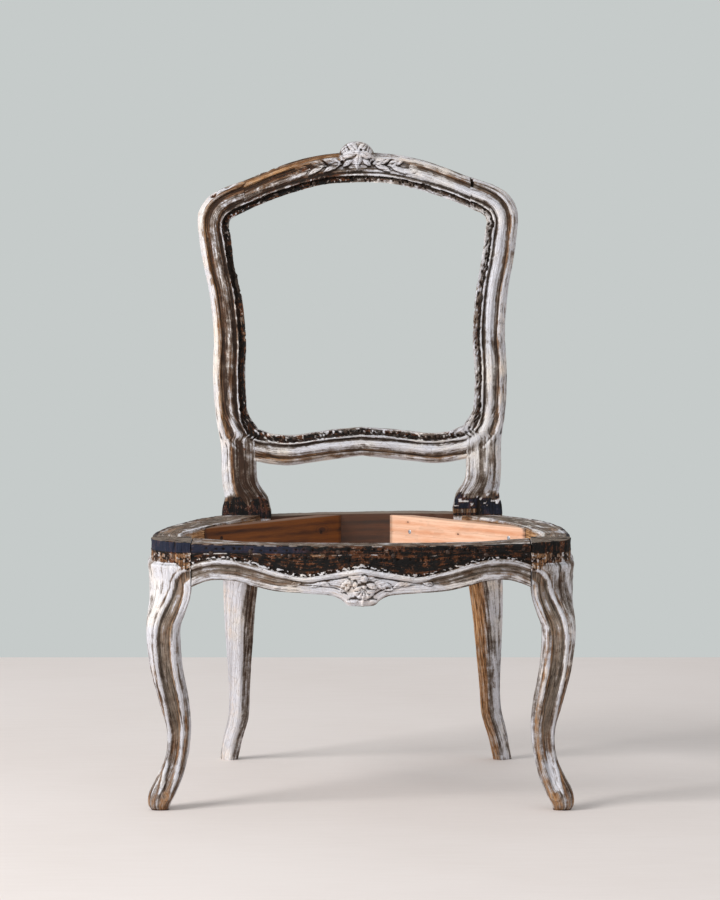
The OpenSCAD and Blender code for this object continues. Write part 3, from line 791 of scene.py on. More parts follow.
@dataclass(frozen=True)
class BareBoard:
    """A plain sawn board, oiled by age, with grain that runs along it."""

    name: str
    low: str
    high: str
    line: str
    knots: tuple[tuple[float, float, float, float], ...] = ()

    def material(self) -> Finish:
        """Builds growth lines that bend round the knots, and saw marks.

        Returns:
            The material.
        """
        g = Graph(self.name)
        grime_and_shade, grey = g.mark("grime_and_shade"), g.mark("grey")
        broad = g.noise(g.grain(60, 7), detail=4, rough=0.6, twist=0.5)
        fine = g.noise(g.grain(900, 45), detail=4, rough=0.65)
        bands = g.add("TexWave", {"Vector": g.grain(26, 1.3), "Scale": 1.0, "Distortion": 7.0, "Detail": 4.0,
                                  "Detail Scale": 0.6}, out=1, wave_type="BANDS", bands_direction="X")
        share = g.step(g.total((broad, 0.9), (fine, 0.5), (bands, 0.18)), 0.48, 0.98)
        colour = g.blend(share, self.low, self.high)
        lines = g.step(g.total((bands, 0.75), (fine, 0.45)), 0.9, 1.06)
        colour = g.blend(lines, colour, self.line, 0.38)
        own = g.add("TexCoord", {}, out="Object")
        for x, y, z, radius in self.knots:
            offset = g.add("VectorMath", {0: own, 1: (x, y, z)}, operation="SUBTRACT")
            offset = g.add("VectorMath", {0: offset, 1: (1.0, 1.0, 2.0)}, operation="MULTIPLY")
            gap = g.add("VectorMath", {0: offset}, out="Value", operation="LENGTH")
            spread = g.total((gap, 1.0 / radius), (fine, 0.35))
            ring = g.math("SINE", g.math("MULTIPLY", spread, 11.0))
            halo = g.less(g.step(spread, 0.7, 2.4))
            core = g.less(g.step(spread, 0.55, 0.95))
            colour = g.blend(g.math("MULTIPLY", halo, g.total((ring, 0.22), start=0.3)), colour, self.line)
            colour = g.blend(core, colour, "#3a1d10", 0.8)
        # Dark layer from the same mark as the paint's: dirt, and painted shade in hollows.
        dirt_and_shade_share = g.step(g.total((grime_and_shade, 1.0), (fine, 0.3), start=-0.15), 0.1, 0.9)
        colour = g.blend(dirt_and_shade_share, colour, "#24150d", 0.85)
        colour = g.blend(grey, colour, "#8f8072", 0.7)
        saw = g.noise(g.grain(40, 420), detail=2)
        height = g.total((fine, 0.6), (lines, -0.2), (saw, 0.3))
        rough = g.total((fine, 0.2), start=0.6)
        return g.finish(colour, rough, height, lift=0.0004)


@dataclass(frozen=True)
class OldIron:
    """Iron that rusts where it isn't rubbed."""

    name: str
    bright: str
    rust: str
    rusted: float
    left: float = 0.0

    def material(self) -> Finish:
        """Builds rust in patches over dull metal.

        Returns:
            The material.
        """
        g = Graph(self.name)
        patch = g.noise(g.place(), scale=700, detail=4, rough=0.65)
        grit = g.noise(g.place(), scale=2600, detail=2)
        own = g.add("TexCoord", {}, out="Object")
        across = g.add("SeparateXYZ", {0: own}, out="X")
        left = g.less(g.step(across, -0.01, 0.01))
        cover = g.total((patch, 1.0), (grit, 0.3), (left, self.left), start=self.rusted - 0.65)
        cover = g.step(cover, 0.4, 0.6)
        brown = g.blend(grit, self.rust, "#241611")
        colour = g.blend(cover, self.bright, brown)
        rough = g.total((cover, 0.45), (grit, 0.2), start=0.3)
        height = g.total((cover, 0.5), (grit, 0.4))
        return g.finish(colour, rough, height, lift=0.0002, metal=0.6, gloss=0.5)


# ---- the back frame


class BackLine:
    """The back frame's outlines in elevation, and how its front face leans."""

    RAKE: Rows = [[0, 0], [0.1, 0.015], [0.22, 0.085], [0.42, 0.29], [0.68, 0.62], [0.94, 0.95], [1.05, 1.1]]
    LEG_SWEEP: Rows = [[0, 74], [0.27, 48], [0.55, 21], [0.8, 2], [0.815, 0], [1, 0]]
    STILE_OUT: Rows = [[0, -9.5], [0.025, -10.5], [0.052, -13.5], [0.085, -11], [0.12, -9.5], [0.2, -8.5],
                       [0.27, -2.6], [0.325, 0], [0.4, 1.2], [0.485, -0.5], [0.565, 2.6], [0.63, 7],
                       [0.69, 13.8], [0.77, 20.2], [0.82, 22]]
    LEG_OUT: Rows = [[0, 9.3], [0.08, 7], [0.18, -1.5], [0.27, -4.5], [0.35, -4], [0.48, -2], [0.62, 0],
                     [1, 0]]
    LEG_W: Rows = [[0, 24], [0.08, 28], [0.18, 30], [0.27, 29.5], [0.35, 32], [0.48, 38], [0.62, 44.5],
                   [0.73, 50]]
    CREST_OUT: Rows = [[0, 0], [0.2, 1.2], [0.4, 5.5], [0.62, 14.5], [0.8, 25], [0.95, 35], [1, 38]]
    CREST_IN: Rows = [[0, 43], [0.2, 44], [0.34, 47], [0.5, 53], [0.65, 60.5], [0.8, 69], [0.92, 77], [1, 83]]
    LOWER_TOP: Rows = [[0, 125.5], [0.28, 122.5], [0.42, 120], [0.66, 115.5], [0.85, 118], [1, 125.5]]
    LOWER_LOW: Rows = [[0, 85], [0.25, 80.5], [0.5, 76], [0.72, 72.5], [0.87, 75], [1, 80]]
    SHOULDER: Sequence[Rows] = [[[-23.8, 107], [22, 100]], [[-23.6, 101.5], [21, 86]],
                                [[-24.6, 96.5], [15.5, 73]], [[-27, 93], [5, 60.5]],
                                [[-31, 90.5], [-11, 51]], [[-38, 87], [-29, 44]]]

    def depth(self, z: Array) -> Array:
        """Depth of the front face at a height.

        Args:
            z: Heights.

        Returns:
            Depths behind the front feet.
        """
        low = curve(self.LEG_SWEEP, z / SEAT_H)
        high = SIZES.back_rake * curve(self.RAKE, (z - SEAT_H) / SIZES.back_span)
        return SIZES.post_depth + np.where(z < SEAT_H, low, high)

    def edge(self, z: Array) -> Array:
        """A post's outer edge.

        Args:
            z: Heights.

        Returns:
            Distances from the middle.
        """
        low = SIZES.post_out + curve(self.LEG_OUT, z / SEAT_H)
        high = SIZES.waist_span / 2 + curve(self.STILE_OUT, (z - SEAT_H) / SIZES.back_span)
        return np.where(z < SEAT_H, low, high)

    def width(self, z: Array) -> Array:
        """A post's width.

        Args:
            z: Heights.

        Returns:
            Widths.
        """
        share = (z - SEAT_H) / SIZES.back_span
        leg = mix(curve(self.LEG_W, z / SEAT_H), SIZES.base_w, ease((z - SIZES.block_low + 32) / 32))
        base = mix(SIZES.base_w, SIZES.neck_w, ease((share - 0.004) / 0.103))
        stile = mix(SIZES.neck_w, SIZES.stile_w, ease((share - 0.2) / 0.1))
        return np.where(z < SIZES.block_low, leg, np.where(share < 0.107, base, stile))

    def inner(self, z: Array) -> Array:
        """A post's inner edge, rounded into the lower rail.

        Args:
            z: Heights.

        Returns:
            Distances from the middle.
        """
        plain = self.edge(z) - self.width(z)
        up = z - SEAT_H
        corner = 9.0 * ease((153 - up) / 30) * ease((up - 108) / 12)
        return plain - corner

    def thick(self, z: Array) -> Array:
        """A post's thickness.

        Args:
            z: Heights.

        Returns:
            Thicknesses.
        """
        low = curve([[0, 24], [0.27, 30], [0.55, 38], [0.81, SIZES.post_t], [1, SIZES.post_t]], z / SEAT_H)
        high = mix(SIZES.post_t, SIZES.back_t, ease((z - SEAT_H - 8) / 110))
        return np.where(z < SEAT_H, low, high)

    def crest_outer(self, x: Array) -> Array:
        """Height of the crest rail's upper edge."""
        return CREST_H - curve(self.CREST_OUT, np.abs(x) / SIZES.crest_joint)

    def crest_inner(self, x: Array) -> Array:
        """Height of the crest rail's lower edge."""
        return CREST_H - curve(self.CREST_IN, np.abs(x) / SIZES.crest_joint)

    def lower_top(self, x: Array) -> Array:
        """Height of the lower back rail's upper edge."""
        return SEAT_H + curve(self.LOWER_TOP, np.abs(x) / SIZES.lower_joint)

    def lower_low(self, x: Array) -> Array:
        """Height of the lower back rail's lower edge."""
        return SEAT_H + curve(self.LOWER_LOW, np.abs(x) / SIZES.lower_joint)

    def shoulder(self, count: int) -> tuple[Array, Array]:
        """Inner and outer points where a stile turns into the crest.

        Args:
            count: How many stations from the stile's top to the crest joint.

        Returns:
            Inner points and outer points, across and up.
        """
        heights = CREST_H - SIZES.shoulder_drop - np.array([24.0, 12.0, 0.0])
        rows = [[self.edge(z) - self.width(z), z, self.edge(z), z] for z in heights]
        for inner, outer in self.SHOULDER:
            rows.append([SIZES.waist_span / 2 + inner[0], CREST_H - inner[1],
                         SIZES.waist_span / 2 + outer[0], CREST_H - outer[1]])
        for x in (SIZES.crest_joint, SIZES.crest_joint - 12, SIZES.crest_joint - 24):
            rows.append([x, self.crest_inner(x), x, self.crest_outer(x)])
        table = np.array(rows, float)
        middle = (table[:, :2] + table[:, 2:]) / 2
        run = distance_along(middle)
        at = np.linspace(run[2], run[-3], count)
        found = np.stack([curve(np.stack([run, column], axis=1), at) for column in table.T], axis=1)
        return found[:, :2], found[:, 2:]

    def opening(self) -> Array:
        """Right half of the opening's edge, from the middle of the crest to the middle of the lower rail.

        Returns:
            Points across and up.
        """
        x = np.linspace(0, SIZES.crest_joint, 60)
        inner, _ = self.shoulder(40)
        z = np.linspace(CREST_H - SIZES.shoulder_drop, SEAT_H + 150, 90)
        stile = joined(self.inner(z), z)
        low_x = np.linspace(130, 0, 60)
        low = joined(low_x, self.lower_top(low_x))
        start, end = stile[-1], low[0]
        pull = np.array([start[0] + 0.5, end[1] - 0.5])
        s = np.linspace(0, 1, 24)[1:-1, None]
        corner = start * (1 - s) ** 2 + 2 * pull * s * (1 - s) + end * s * s
        crest = joined(x, self.crest_inner(x))
        return np.concatenate([crest, inner[::-1], stile, corner, low])


BACK = BackLine()
REBATE_EDGE = 9.3


def gap_to(line: Array, across: Array, up: Array) -> tuple[Array, Array]:
    """Distance in elevation from each point to a line of points.

    Args:
        line: Points of the line, across and up.
        across: Where each point is, across.
        up: And its height.

    Returns:
        The distance, and the share of the way along the line of the nearest point.
    """
    shape = np.shape(across)
    at = np.stack([np.ravel(across), np.ravel(up)], axis=1)
    best = np.full(len(at), np.inf)
    share = np.zeros(len(at))
    run = np.linspace(0, 1, len(line))
    for k in range(len(line) - 1):
        start, step = line[k], line[k + 1] - line[k]
        s = np.clip((at - start) @ step / max(step @ step, 1e-9), 0, 1)
        gap = np.hypot(*(at - start - s[:, None] * step).T)
        nearer = gap < best
        best = np.where(nearer, gap, best)
        share = np.where(nearer, mix(run[k], run[k + 1], s), share)
    return best.reshape(shape), share.reshape(shape)


class BackMoulding:
    """The moulding round the back's opening: rebate, thin bead, broad bead, cove, ridge, canted edge."""

    KNOTS = (0, 1, 8.3, 9.0, 9.6, 11, 12.2, 14, 16, 20.5, 24, 28, 30.5, 34, 36.6, 38.4, 42, 44.6, 46.8)
    FIXED = 28
    DEPTHS = (6.8, 6.4, 7.9, 7.7, 2.0, 1.2, 1.9, 4.3, 3.6, 0.2, 0.3, 3.3, 4.8, 4.9, 1.9, 2.4, 5.6, 8.8, 12.5)

    def depth(self, gap: Array, width: Array | float) -> Array:
        """Depth of the moulded front.

        Args:
            gap: Distance from the opening's edge.
            width: Width of the member there.

        Returns:
            Depth behind the frontmost plane.
        """
        stretch = (SIZES.stile_w - self.FIXED) / np.maximum(width - self.FIXED, 6)
        outer = self.FIXED + (gap - self.FIXED) * stretch
        return moulding(np.where(gap > self.FIXED, outer, gap), self.KNOTS, self.DEPTHS)

    @staticmethod
    def places(width: Array) -> Array:
        """Distances across the front face, closer where the moulding is fine, for each station's width.

        Args:
            width: Each station's width.

        Returns:
            One row of distances a station.
        """
        inner = np.concatenate([np.linspace(0, 8.3, 6), [8.9, 9.25], np.linspace(9.6, 27, 19)])
        share = np.linspace(0, 1, 19)[1:]
        return np.concatenate([np.broadcast_to(inner, (len(width), len(inner))),
                               27 + (width[:, None] - 27) * share], axis=1)

    @staticmethod
    def rest(width: Array, thick: Array, first: Array, last: Array) -> tuple[Array, Array]:
        """The member's outer side, back and inner side.

        Args:
            width: Width at each station.
            thick: Thickness.
            first: Depth of the front's inner edge.
            last: Depth of its outer edge.

        Returns:
            Distance from the opening and depth of each point.
        """
        corners = [(width, last), (width, thick - 9), (width - 2, thick - 4), (width - 7, thick - 0.6),
                   (width / 2, thick), (7.0 + 0 * width, thick - 0.4), (1.6 + 0 * width, thick - 2.6),
                   (0 * width, thick - 7), (0 * width, first)]
        counts = (7, 3, 3, 7, 7, 3, 3, 7)
        u, v = [], []
        for k, count in enumerate(counts):
            is_last = k == len(counts) - 1
            share = np.linspace(0, 1, count + 1)[1 : count if is_last else count + 1]
            u.append(mix(corners[k][0][:, None], corners[k + 1][0][:, None], share))
            v.append(mix(corners[k][1][:, None], corners[k + 1][1][:, None], share))
        return np.concatenate(u, axis=1), np.concatenate(v, axis=1)


@dataclass
class BackMember:
    """A moulded member of the back: what its skin and its finish are worked out from."""

    inner: Array
    outer: Array
    thick: Array
    depth_of_front: Callable[[Array, Array, Array, Array], Array]
    moulding: BackMoulding = field(default_factory=BackMoulding)

    def skin(self) -> tuple[Skin, Array, int]:
        """Builds the rings.

        Returns:
            The skin before racking, each point's distance across from the opening, and how many of a ring's
            points belong to its front.
        """
        width = np.linalg.norm(self.outer - self.inner, axis=1)
        front_u = self.moulding.places(width)
        step = (self.outer - self.inner)[:, None, :]
        at = self.inner[:, None, :] + step * (front_u / width[:, None])[..., None]
        front_v = self.depth_of_front(at[..., 0], at[..., 1], front_u, width)
        side_u, side_v = self.moulding.rest(width, self.thick, front_v[:, 0], front_v[:, -1])
        u = np.concatenate([front_u, side_u], axis=1)
        v = np.concatenate([front_v, side_v], axis=1)
        at = self.inner[:, None, :] + step * (u / width[:, None])[..., None]
        rings = joined(at[..., 0], BACK.depth(at[..., 1]) + v, at[..., 1])
        return Skin(rings), u, front_u.shape[1]


class Tones:
    """How much paint and what wood shows across the back's moulding, by distance from the opening. On the
    stiles the dark rows also paint shade on the left stile's slopes that face away from the light, and the
    pale rows paint light on the right stile's slopes that face it.
    """

    PAINT_DARK: Rows = [[0, 0.12], [9, 0.15], [10.8, 0.55], [13, 0.05], [17, 0.14], [22, 0.26], [27, 0.12],
                        [31, 0.0], [35.5, 0.02], [37.5, 0.2]]
    PAINT_PALE: Rows = [[0, 0.3], [9, 0.3], [10.8, 0.8], [13, 0.15], [17, 0.62], [22, 0.86], [27, 0.56],
                        [31, 0.1], [35.5, 0.14], [37.5, 0.36]]
    WARM: Rows = [[0, 0.35], [9, 0.35], [14, 0.25], [22, 0.35], [31, 0.3], [35, 0.7], [38.5, 0.95], [42, 0.7],
                  [46.5, 0.6]]
    STAIN_DARK: Rows = [[0, 0.6], [2, 0.78], [7.5, 0.8], [9.5, 0.7], [10.5, 0.3], [13.5, 0.62], [17, 0.22],
                        [24, 0.12], [30, 0.5], [35, 0.2], [38, 0.0]]
    STAIN_PALE: Rows = [[0, 0.1], [4, 0.36], [7, 0.4], [9.5, 0.55], [10.5, 0.1], [13.5, 0.35], [17, 0.0],
                        [27, 0.0], [30, 0.25], [34, 0.0]]


@dataclass(frozen=True)
class BackTone:
    """How the paint has held on the back, as seen across it, with painted light and shade on the stiles.

    Attributes:
        pale: 0 where the paint of the mouldings is mostly gone, 1 where it holds; on the stiles the left's
            low value is also painted shade and the right's high value painted light.
        rim: How well it holds on the canted outer face; on the stiles more on the left, a painted highlight
            on the face that turns to the light, and less on the right, a painted shade.
    """

    pale: Array
    rim: Array

    @staticmethod
    def at(rings: Array) -> "BackTone":
        """Reads the back's tones at points of the true frame, the left half across below zero.

        Args:
            rings: Rings of points, before they are racked.

        Returns:
            The tones, one a point.
        """
        across, up = rings[..., 0], rings[..., 2]
        crest = ease((up - CREST_H + 75) / 20) * ease((SIZES.crest_joint + 28 - np.abs(across)) / 26)
        right = ease((across + 55) / 90)
        # Painted highlight and shade: the left stile's canted outer face, turned to the light, gets more pale
        # paint than the right stile's.
        stile_rim = mix(1.25, 0.5, ease(across / 20))
        crest_rim = mix(0.12, 0.42, right)
        low = ease((SEAT_H + 128 - up) / 10) * ease((150 - np.abs(across)) / 16)
        # Partly wear, partly painted shade and light: the left stile takes the dark tones and the right stile
        # the pale ones.
        pale = mix(0.1, 0.85, ease(across / 40))
        pale = mix(pale, mix(0.0, 0.95, right), crest)
        pale = mix(pale, mix(0.35, 0.5, right), low)
        return BackTone(pale, mix(mix(stile_rim, crest_rim, crest), 0.75, low))


def back_marks(skin: Skin, gap: Array, front: int, seed: int) -> None:
    """Marks of a moulded back member.

    Args:
        skin: The member's skin, before it is racked.
        gap: Distance from the opening at each point.
        front: How many of a ring's points are its front.
        seed: Which draw of tack holes.
    """
    rings = skin.rings
    tones = BackTone.at(rings)
    run = distance_along(rings[:, 0])[:, None] + 0 * gap
    is_front = skin.is_first(front) & np.ones_like(gap, bool)
    wander = gap + 3.0 * skin.fibres(12.0, 60.0, 7.0 * seed)
    torn = (FLECK.layered(rings + seed, (5, 9, 5), 3) - 0.5) * is_front * ease((10 - gap) / 3)
    skin.push(2.6 * torn)
    holes = np.maximum(pits(run, gap, 8.5, 4.6, 1.5, seed), pits(run, gap, 12.0, 7.4, 1.2, seed + 1))
    holes = holes * is_front
    skin.push(-2.0 * holes)
    paint = mix(tone(Tones.PAINT_DARK, wander), tone(Tones.PAINT_PALE, wander) + 0.2, tones.pale)
    paint = paint + 0.16 * ease((SEAT_H + 140 - rings[..., 2]) / 25)
    paint = mix(paint, tones.rim, ease((gap - 38.5) / 3.5))
    chips = SWELL.layered(rings + 31, 13.0, 3) - 0.5
    behind = 0.5 + 0.4 * chips
    flecks = specks(rings * [1, 1, 0.6] + 70, 2.3, 2, 0.6, 8) * ease((30 - gap) / 4)
    crest = ease((rings[..., 2] - 835) / 25) * (1 - tones.pale)
    paint = paint - crest * (0.16 + 0.4 * hump((wander - 10.8) / 2.6)) + 0.25 * flecks
    paint = paint + 0.14 * tones.pale * ease((gap - 36) / 4)
    skin.mark(paint=np.where(is_front, paint + 0.5 * chips, behind))
    skin.mark(warm=np.where(is_front, tone(Tones.WARM, wander), 0.45))
    stain = mix(tone(Tones.STAIN_DARK, wander), tone(Tones.STAIN_PALE, wander), tones.pale)
    mottled = 0.5 * crest * ease((34 - gap) / 6) * (FLECK.layered(rings + 12, (14, 9, 7), 3) - 0.3)
    skin.mark(stain=np.where(is_front, stain + mottled - 0.6 * flecks, 0.0))
    skin.mark(grime_and_shade=0.9 * holes, indigo=0, grey=np.where(is_front, 0.3 * tones.pale + 0.15, 0.95))


OPENING = BACK.opening()


@dataclass
class Paired:
    """A piece that the chair has on both sides. It is worked out on the right and mirrored."""

    side: Side

    @property
    def right(self) -> bool:
        """Whether this is the right one."""
        return self.side is Side.RIGHT

    def named(self, kind: str) -> str:
        """The node's name."""
        return f"{kind}_{self.side.name.lower()}"


class RearPost(Paired):
    """Rear leg, seat block, neck, stile and shoulder: one piece of wood."""

    STILE_STEPS = 250
    SHOULDER_STEPS = 62

    def front(self, across: Array, up: Array, u: Array, width: Array) -> Array:
        """Depth of the post's front: leg, block, neck and moulded stile, each running into the next.

        Args:
            across: Distance from the middle.
            up: Height.
            u: Distance across the front face from the inner edge.
            width: Each station's width.

        Returns:
            Depths behind the front plane.
        """
        w = width[:, None]
        share = u / w
        leg = tone([[0, 9], [0.12, 6], [0.24, 3.6], [0.36, 1.4], [0.45, 0], [0.52, 0.6], [0.6, 2.2],
                    [0.68, 4], [0.84, 7.6], [1, 11.5]], share)
        block = moulding(np.minimum(u, w - u), (0, 1.5), (1.5, 0))
        neck = moulding(share, (0, 0.06, 0.12, 0.4, 0.55, 0.64, 0.7, 0.86, 1.0),
                        (5, 1.6, 0.8, 0, 0.3, 1.2, 3.4, 8.6, 13))
        gap, _ = gap_to(OPENING, across, up)
        moulded = BackMoulding().depth(gap, np.maximum(w, SIZES.stile_w))
        above = SEAT_H
        low = mix(leg, block, ease((up - SIZES.block_low + 40) / 40))
        mid = mix(block, neck, ease((up - above - 16) / 22))
        corner = ease((gap - 39) / 7) * ease((above + 190 - up) / 40)
        top = mix(moulded, neck + 0.8, corner)
        whole = mix(mid, top, ease((up - above - 58) / 20))
        return np.where(up < above + 14, low, whole)

    def build(self, finish: Finish) -> Piece:
        """Builds the post.

        Args:
            finish: The piece's material.

        Returns:
            The piece.
        """
        z = np.linspace(0, CREST_H - SIZES.shoulder_drop, self.STILE_STEPS)
        stile_in = joined(BACK.inner(z), z)
        stile_out = joined(BACK.edge(z), z)
        turn_in, turn_out = BACK.shoulder(self.SHOULDER_STEPS)
        inner = np.concatenate([stile_in, turn_in[1:]])
        outer = np.concatenate([stile_out, turn_out[1:]])
        thick = np.concatenate([BACK.thick(z), np.full(self.SHOULDER_STEPS - 1, SIZES.back_t)])
        member = BackMember(inner, outer, thick, self.front)
        skin, u, front = member.skin()
        gap, _ = gap_to(OPENING, skin.rings[..., 0], skin.rings[..., 2])
        skin.rings = skin.rings * [self.side.value, 1, 1]
        self.dress(skin, u, gap, front)
        self.damage(skin, u, gap, front)
        skin.weather()
        skin.rings = racked(skin.rings)
        low = skin.rings[:1, :, 2]
        skin.rings[..., 2] -= low * np.clip(1 - skin.rings[..., 2] / 60, 0, 1)
        skin.rings[..., 2] = np.maximum(skin.rings[..., 2], 0)
        return skin.piece(self.named("rear_post"), finish)

    def dress(self, skin: Skin, u: Array, gap: Array, front: int) -> None:
        """Paint, wood and stain along the post, from the foot to the shoulder.

        Args:
            skin: The skin to mark.
            u: Distance across the front face from the inner edge.
            gap: Distance from the opening's edge.
            front: How many of each ring's points lie on the front face.
        """
        rings = skin.rings
        up = rings[..., 2] - SEAT_H
        back_marks(skin, np.where(up > 60, gap, np.maximum(gap, 40)), front, 5)
        share = u / BACK.width(rings[..., 2])
        is_front = skin.is_first(front)
        leg = ease((SIZES.block_low - rings[..., 2]) / 20)
        streaks = skin.fibres(8.0, 60.0, 5.0)
        if self.right:
            leg_paint = tone([[0, 0.02], [0.3, 0.1], [0.5, 0.3], [0.62, 0.55], [1, 0.62]], share)
            leg_warm = tone([[0, 1.0], [0.35, 0.9], [0.5, 0.3], [1, 0.3]], share)
            neck_paint = tone([[0, 0.5], [0.3, 0.7], [0.5, 0.3], [0.65, 0.55], [1, 0.7]], share)
        else:
            leg_paint = tone([[0, 0.2], [0.3, 0.3], [0.42, 0.95], [0.75, 1.2], [1, 1.2]], share)
            leg_warm = tone([[0, 0.25], [0.45, 0.3], [0.6, 0.7], [1, 0.8]], share)
            neck_paint = tone([[0, 0.5], [0.1, 0.1], [0.5, -0.1], [0.68, 0.0], [0.78, 0.85], [0.9, 1.1],
                               [1, 1.2]], share)
        neck = within(up, 14, 110, 14)
        base = within(up, -3, 30, 10)
        paint = mix(skin.marks["paint"], leg_paint + 0.5 * streaks, leg)
        paint = mix(paint, neck_paint + 0.7 * streaks, neck * is_front * ease((gap - 36) / 5))
        scraps = specks(rings + 21, (6, 6, 4), 3, 0.5, 7) * ease((up - 6) / 8)
        skin.mark(paint=mix(paint, 0.1 + (0.9 * scraps if self.right else 0.35 * scraps), base))
        neck_warm = mix(skin.marks["warm"], tone([[0, 0.3], [0.6, 0.05], [0.7, 0.6], [1, 0.4]], share), neck)
        skin.mark(warm=mix(neck_warm, leg_warm, leg))
        torn = (SWELL.layered(rings + 3, 9.0, 3) - 0.5) * 26
        black = ease((27 - up + torn - 16 * (1 - is_front)) / 5) * ease((up + 4) / 4)
        bare = self.right * within(up, 0, 7, 3) * ease((0.62 - share) / 0.1)
        folds = (FLECK.layered(rings * [1, 1, 0.4] + 3, 7.0, 2) - 0.35) * black
        skin.push(2.6 * folds)
        block = ease((rings[..., 2] - SIZES.block_low) / 8) * ease((6 - up) / 6)
        stain = np.where(up > 60, skin.marks["stain"], 0.0)
        kept = 1 - (0.85 if self.right else 0.3) * scraps
        skin.mark(stain=np.maximum(stain, black * (1 - bare) * kept * 1.1) + 0.3 * block)
        skin.mark(indigo=black * (0.6 if self.right else 0.4) * (1 - bare) * kept)
        skin.mark(grey=mix(skin.marks["grey"], 0.12, leg))

    def damage(self, skin: Skin, u: Array, gap: Array, front: int) -> None:
        """Breaks in the wood: a split rebate on the left, a notch and a chipped shoulder.

        Args:
            skin: The skin to mark and to cut into.
            u: Distance across the front face from the inner edge.
            gap: Distance from the opening's edge.
            front: How many of each ring's points lie on the front face.
        """
        x, z = skin.rings[..., 0], skin.rings[..., 2]
        is_front = skin.is_first(front)
        if not self.right:
            lost = ease((z - 687) / 1.5) * ease((775 - z) / 80) * ease((9.5 - u) / 2.0)
            skin.push(-3.6 * lost)
            chip = hump((x + 212) / 8) * hump((z - 833) / 8) * is_front
            skin.push(-7.0 * chip)
            skin.mark(stain=skin.marks["stain"] + 1.6 * chip)
            steps = specks(skin.rings, (9, 9, 9), 2, 0.48, 9) * ease((u - 40) / 4)
            skin.push(-2.4 * steps * ease((x + 207) / 6) * ease((z - 815) / 6))
        else:
            chip = hump((x - 168) / 4) * ease((u - 30) / 6) * is_front
            skin.push(-3.5 * chip)
            skin.mark(stain=skin.marks["stain"] + chip)
        ragged = FLECK.layered(skin.rings, (7, 7, 5), 2)
        edge = ease((1.5 - u) / 1.5) + hump((gap - REBATE_EDGE) / 1.8) * is_front
        skin.push(-2.8 * edge * ease((ragged - 0.5) * 5) * (z > SEAT_H + 60))


class CrestRail:
    """The top rail with its carved flower and leaves."""

    FINIAL_H = 16.0
    FINIAL_W = 25.0
    LEAVES_W = 112.0
    WORN_TOP = 36.0

    def finial(self, x: Array) -> Array:
        """Height of the flower over the rail."""
        return self.FINIAL_H * np.maximum(0, 1 - (np.abs(x) / self.FINIAL_W) ** 2.4) ** 0.7

    def front(self, across: Array, up: Array, u: Array, width: Array) -> Array:
        """Depth of the rail's front, with the leaves standing out of its mouldings.

        Args:
            across: Distance from the middle.
            up: Height.
            u: Distance across the front face from the inner edge.
            width: Each station's width.

        Returns:
            Depths behind the front plane.
        """
        rise = self.finial(across)
        plain = width[:, None] - rise
        base = BackMoulding().depth(np.minimum(u, plain), plain)
        drop = up - BACK.crest_outer(across)
        carved = CREST_CARVING.height(across, drop)
        leafy = hump(across / self.LEAVES_W) ** 0.5 * ease((u - 15) / 4) * ease((plain - 5.5 - u) / 3)
        dome = ease((self.FINIAL_W + 1.5 - np.abs(across)) / 3) * ease((u - 15) / 4)
        shown = np.clip(leafy + dome, 0, 1)
        ground = mix(mix(base, 4.2, 0.8), 2.6, dome)
        return mix(base, ground - 6.0 * carved, shown)

    def build(self, finish: Finish) -> Piece:
        """Builds the rail.

        Args:
            finish: The piece's material.

        Returns:
            The piece.
        """
        half = np.concatenate([np.arange(SIZES.crest_joint + 0.8, 100, -2.2), np.arange(100, 30, -1.1),
                               np.arange(30, 0.3, -0.6)])
        x = np.concatenate([half, [0.0], -half[::-1]])[::-1]
        inner = joined(x, BACK.crest_inner(x))
        outer = joined(x, BACK.crest_outer(x) + self.finial(x))
        member = BackMember(inner, outer, np.full(len(x), SIZES.back_t), self.front)
        skin, u, front = member.skin()
        across, drop = skin.rings[..., 0], skin.rings[..., 2] - BACK.crest_outer(skin.rings[..., 0])
        carved = CREST_CARVING.height(across, drop)
        self.lean(skin, x)
        back_marks(skin, u, front, 41)
        is_front = skin.is_first(front)
        leafy = hump(across / self.LEAVES_W) ** 0.5 * ease((u - 17) / 3) * is_front
        leafy = leafy * np.maximum(ease((39 - u) / 3), across**2 < (self.FINIAL_W + 1) ** 2)
        flaked = SWELL.layered(skin.rings + 9, 6.0, 3) - 0.5
        carved_paint = 0.36 + 0.42 * np.clip(carved, 0, 1) + 0.8 * flaked
        skin.mark(paint=mix(skin.marks["paint"], carved_paint, leafy))
        skin.mark(warm=mix(skin.marks["warm"], 0.7, hump(across / self.LEAVES_W) * (u > self.WORN_TOP)))
        # Painted shade, with dirt: the carving's low ground between the leaves is darkened.
        skin.mark(grime_and_shade=skin.marks["grime_and_shade"] + 0.55 * leafy * ease((0.3 - carved) / 0.25))
        skin.mark(grey=mix(skin.marks["grey"], 0.5, leafy))
        skin.push(-2.6 * hump((u - REBATE_EDGE) / 1.8) * is_front * specks(skin.rings, 8.0, 2, 0.5, 5))
        steps = specks(skin.rings + 4, (8, 9, 9), 2, 0.5, 9) * ease((u - 40) / 4)
        skin.push(-2.2 * steps * ease((-across - 112) / 10))
        skin.weather(0.75)
        skin.rings = racked(skin.rings)
        return skin.piece("crest_rail", finish)

    def lean(self, skin: Skin, x: Array) -> None:
        """Keeps the flower at the rail's own lean, so that it stands no further back than the rail.

        Args:
            skin: The skin to move.
            x: Each station's distance from the middle.
        """
        rise = self.finial(x)[:, None]
        high = ease((skin.rings[..., 2] - BACK.crest_outer(x)[:, None] + 18) / 20)
        plain = BACK.depth(skin.rings[..., 2])
        skin.rings[..., 1] += (BACK.depth(skin.rings[..., 2] - rise) - plain) * high * (rise > 0)
        skin.rings[..., 1] -= 2.4 * high * ease(rise / 12)


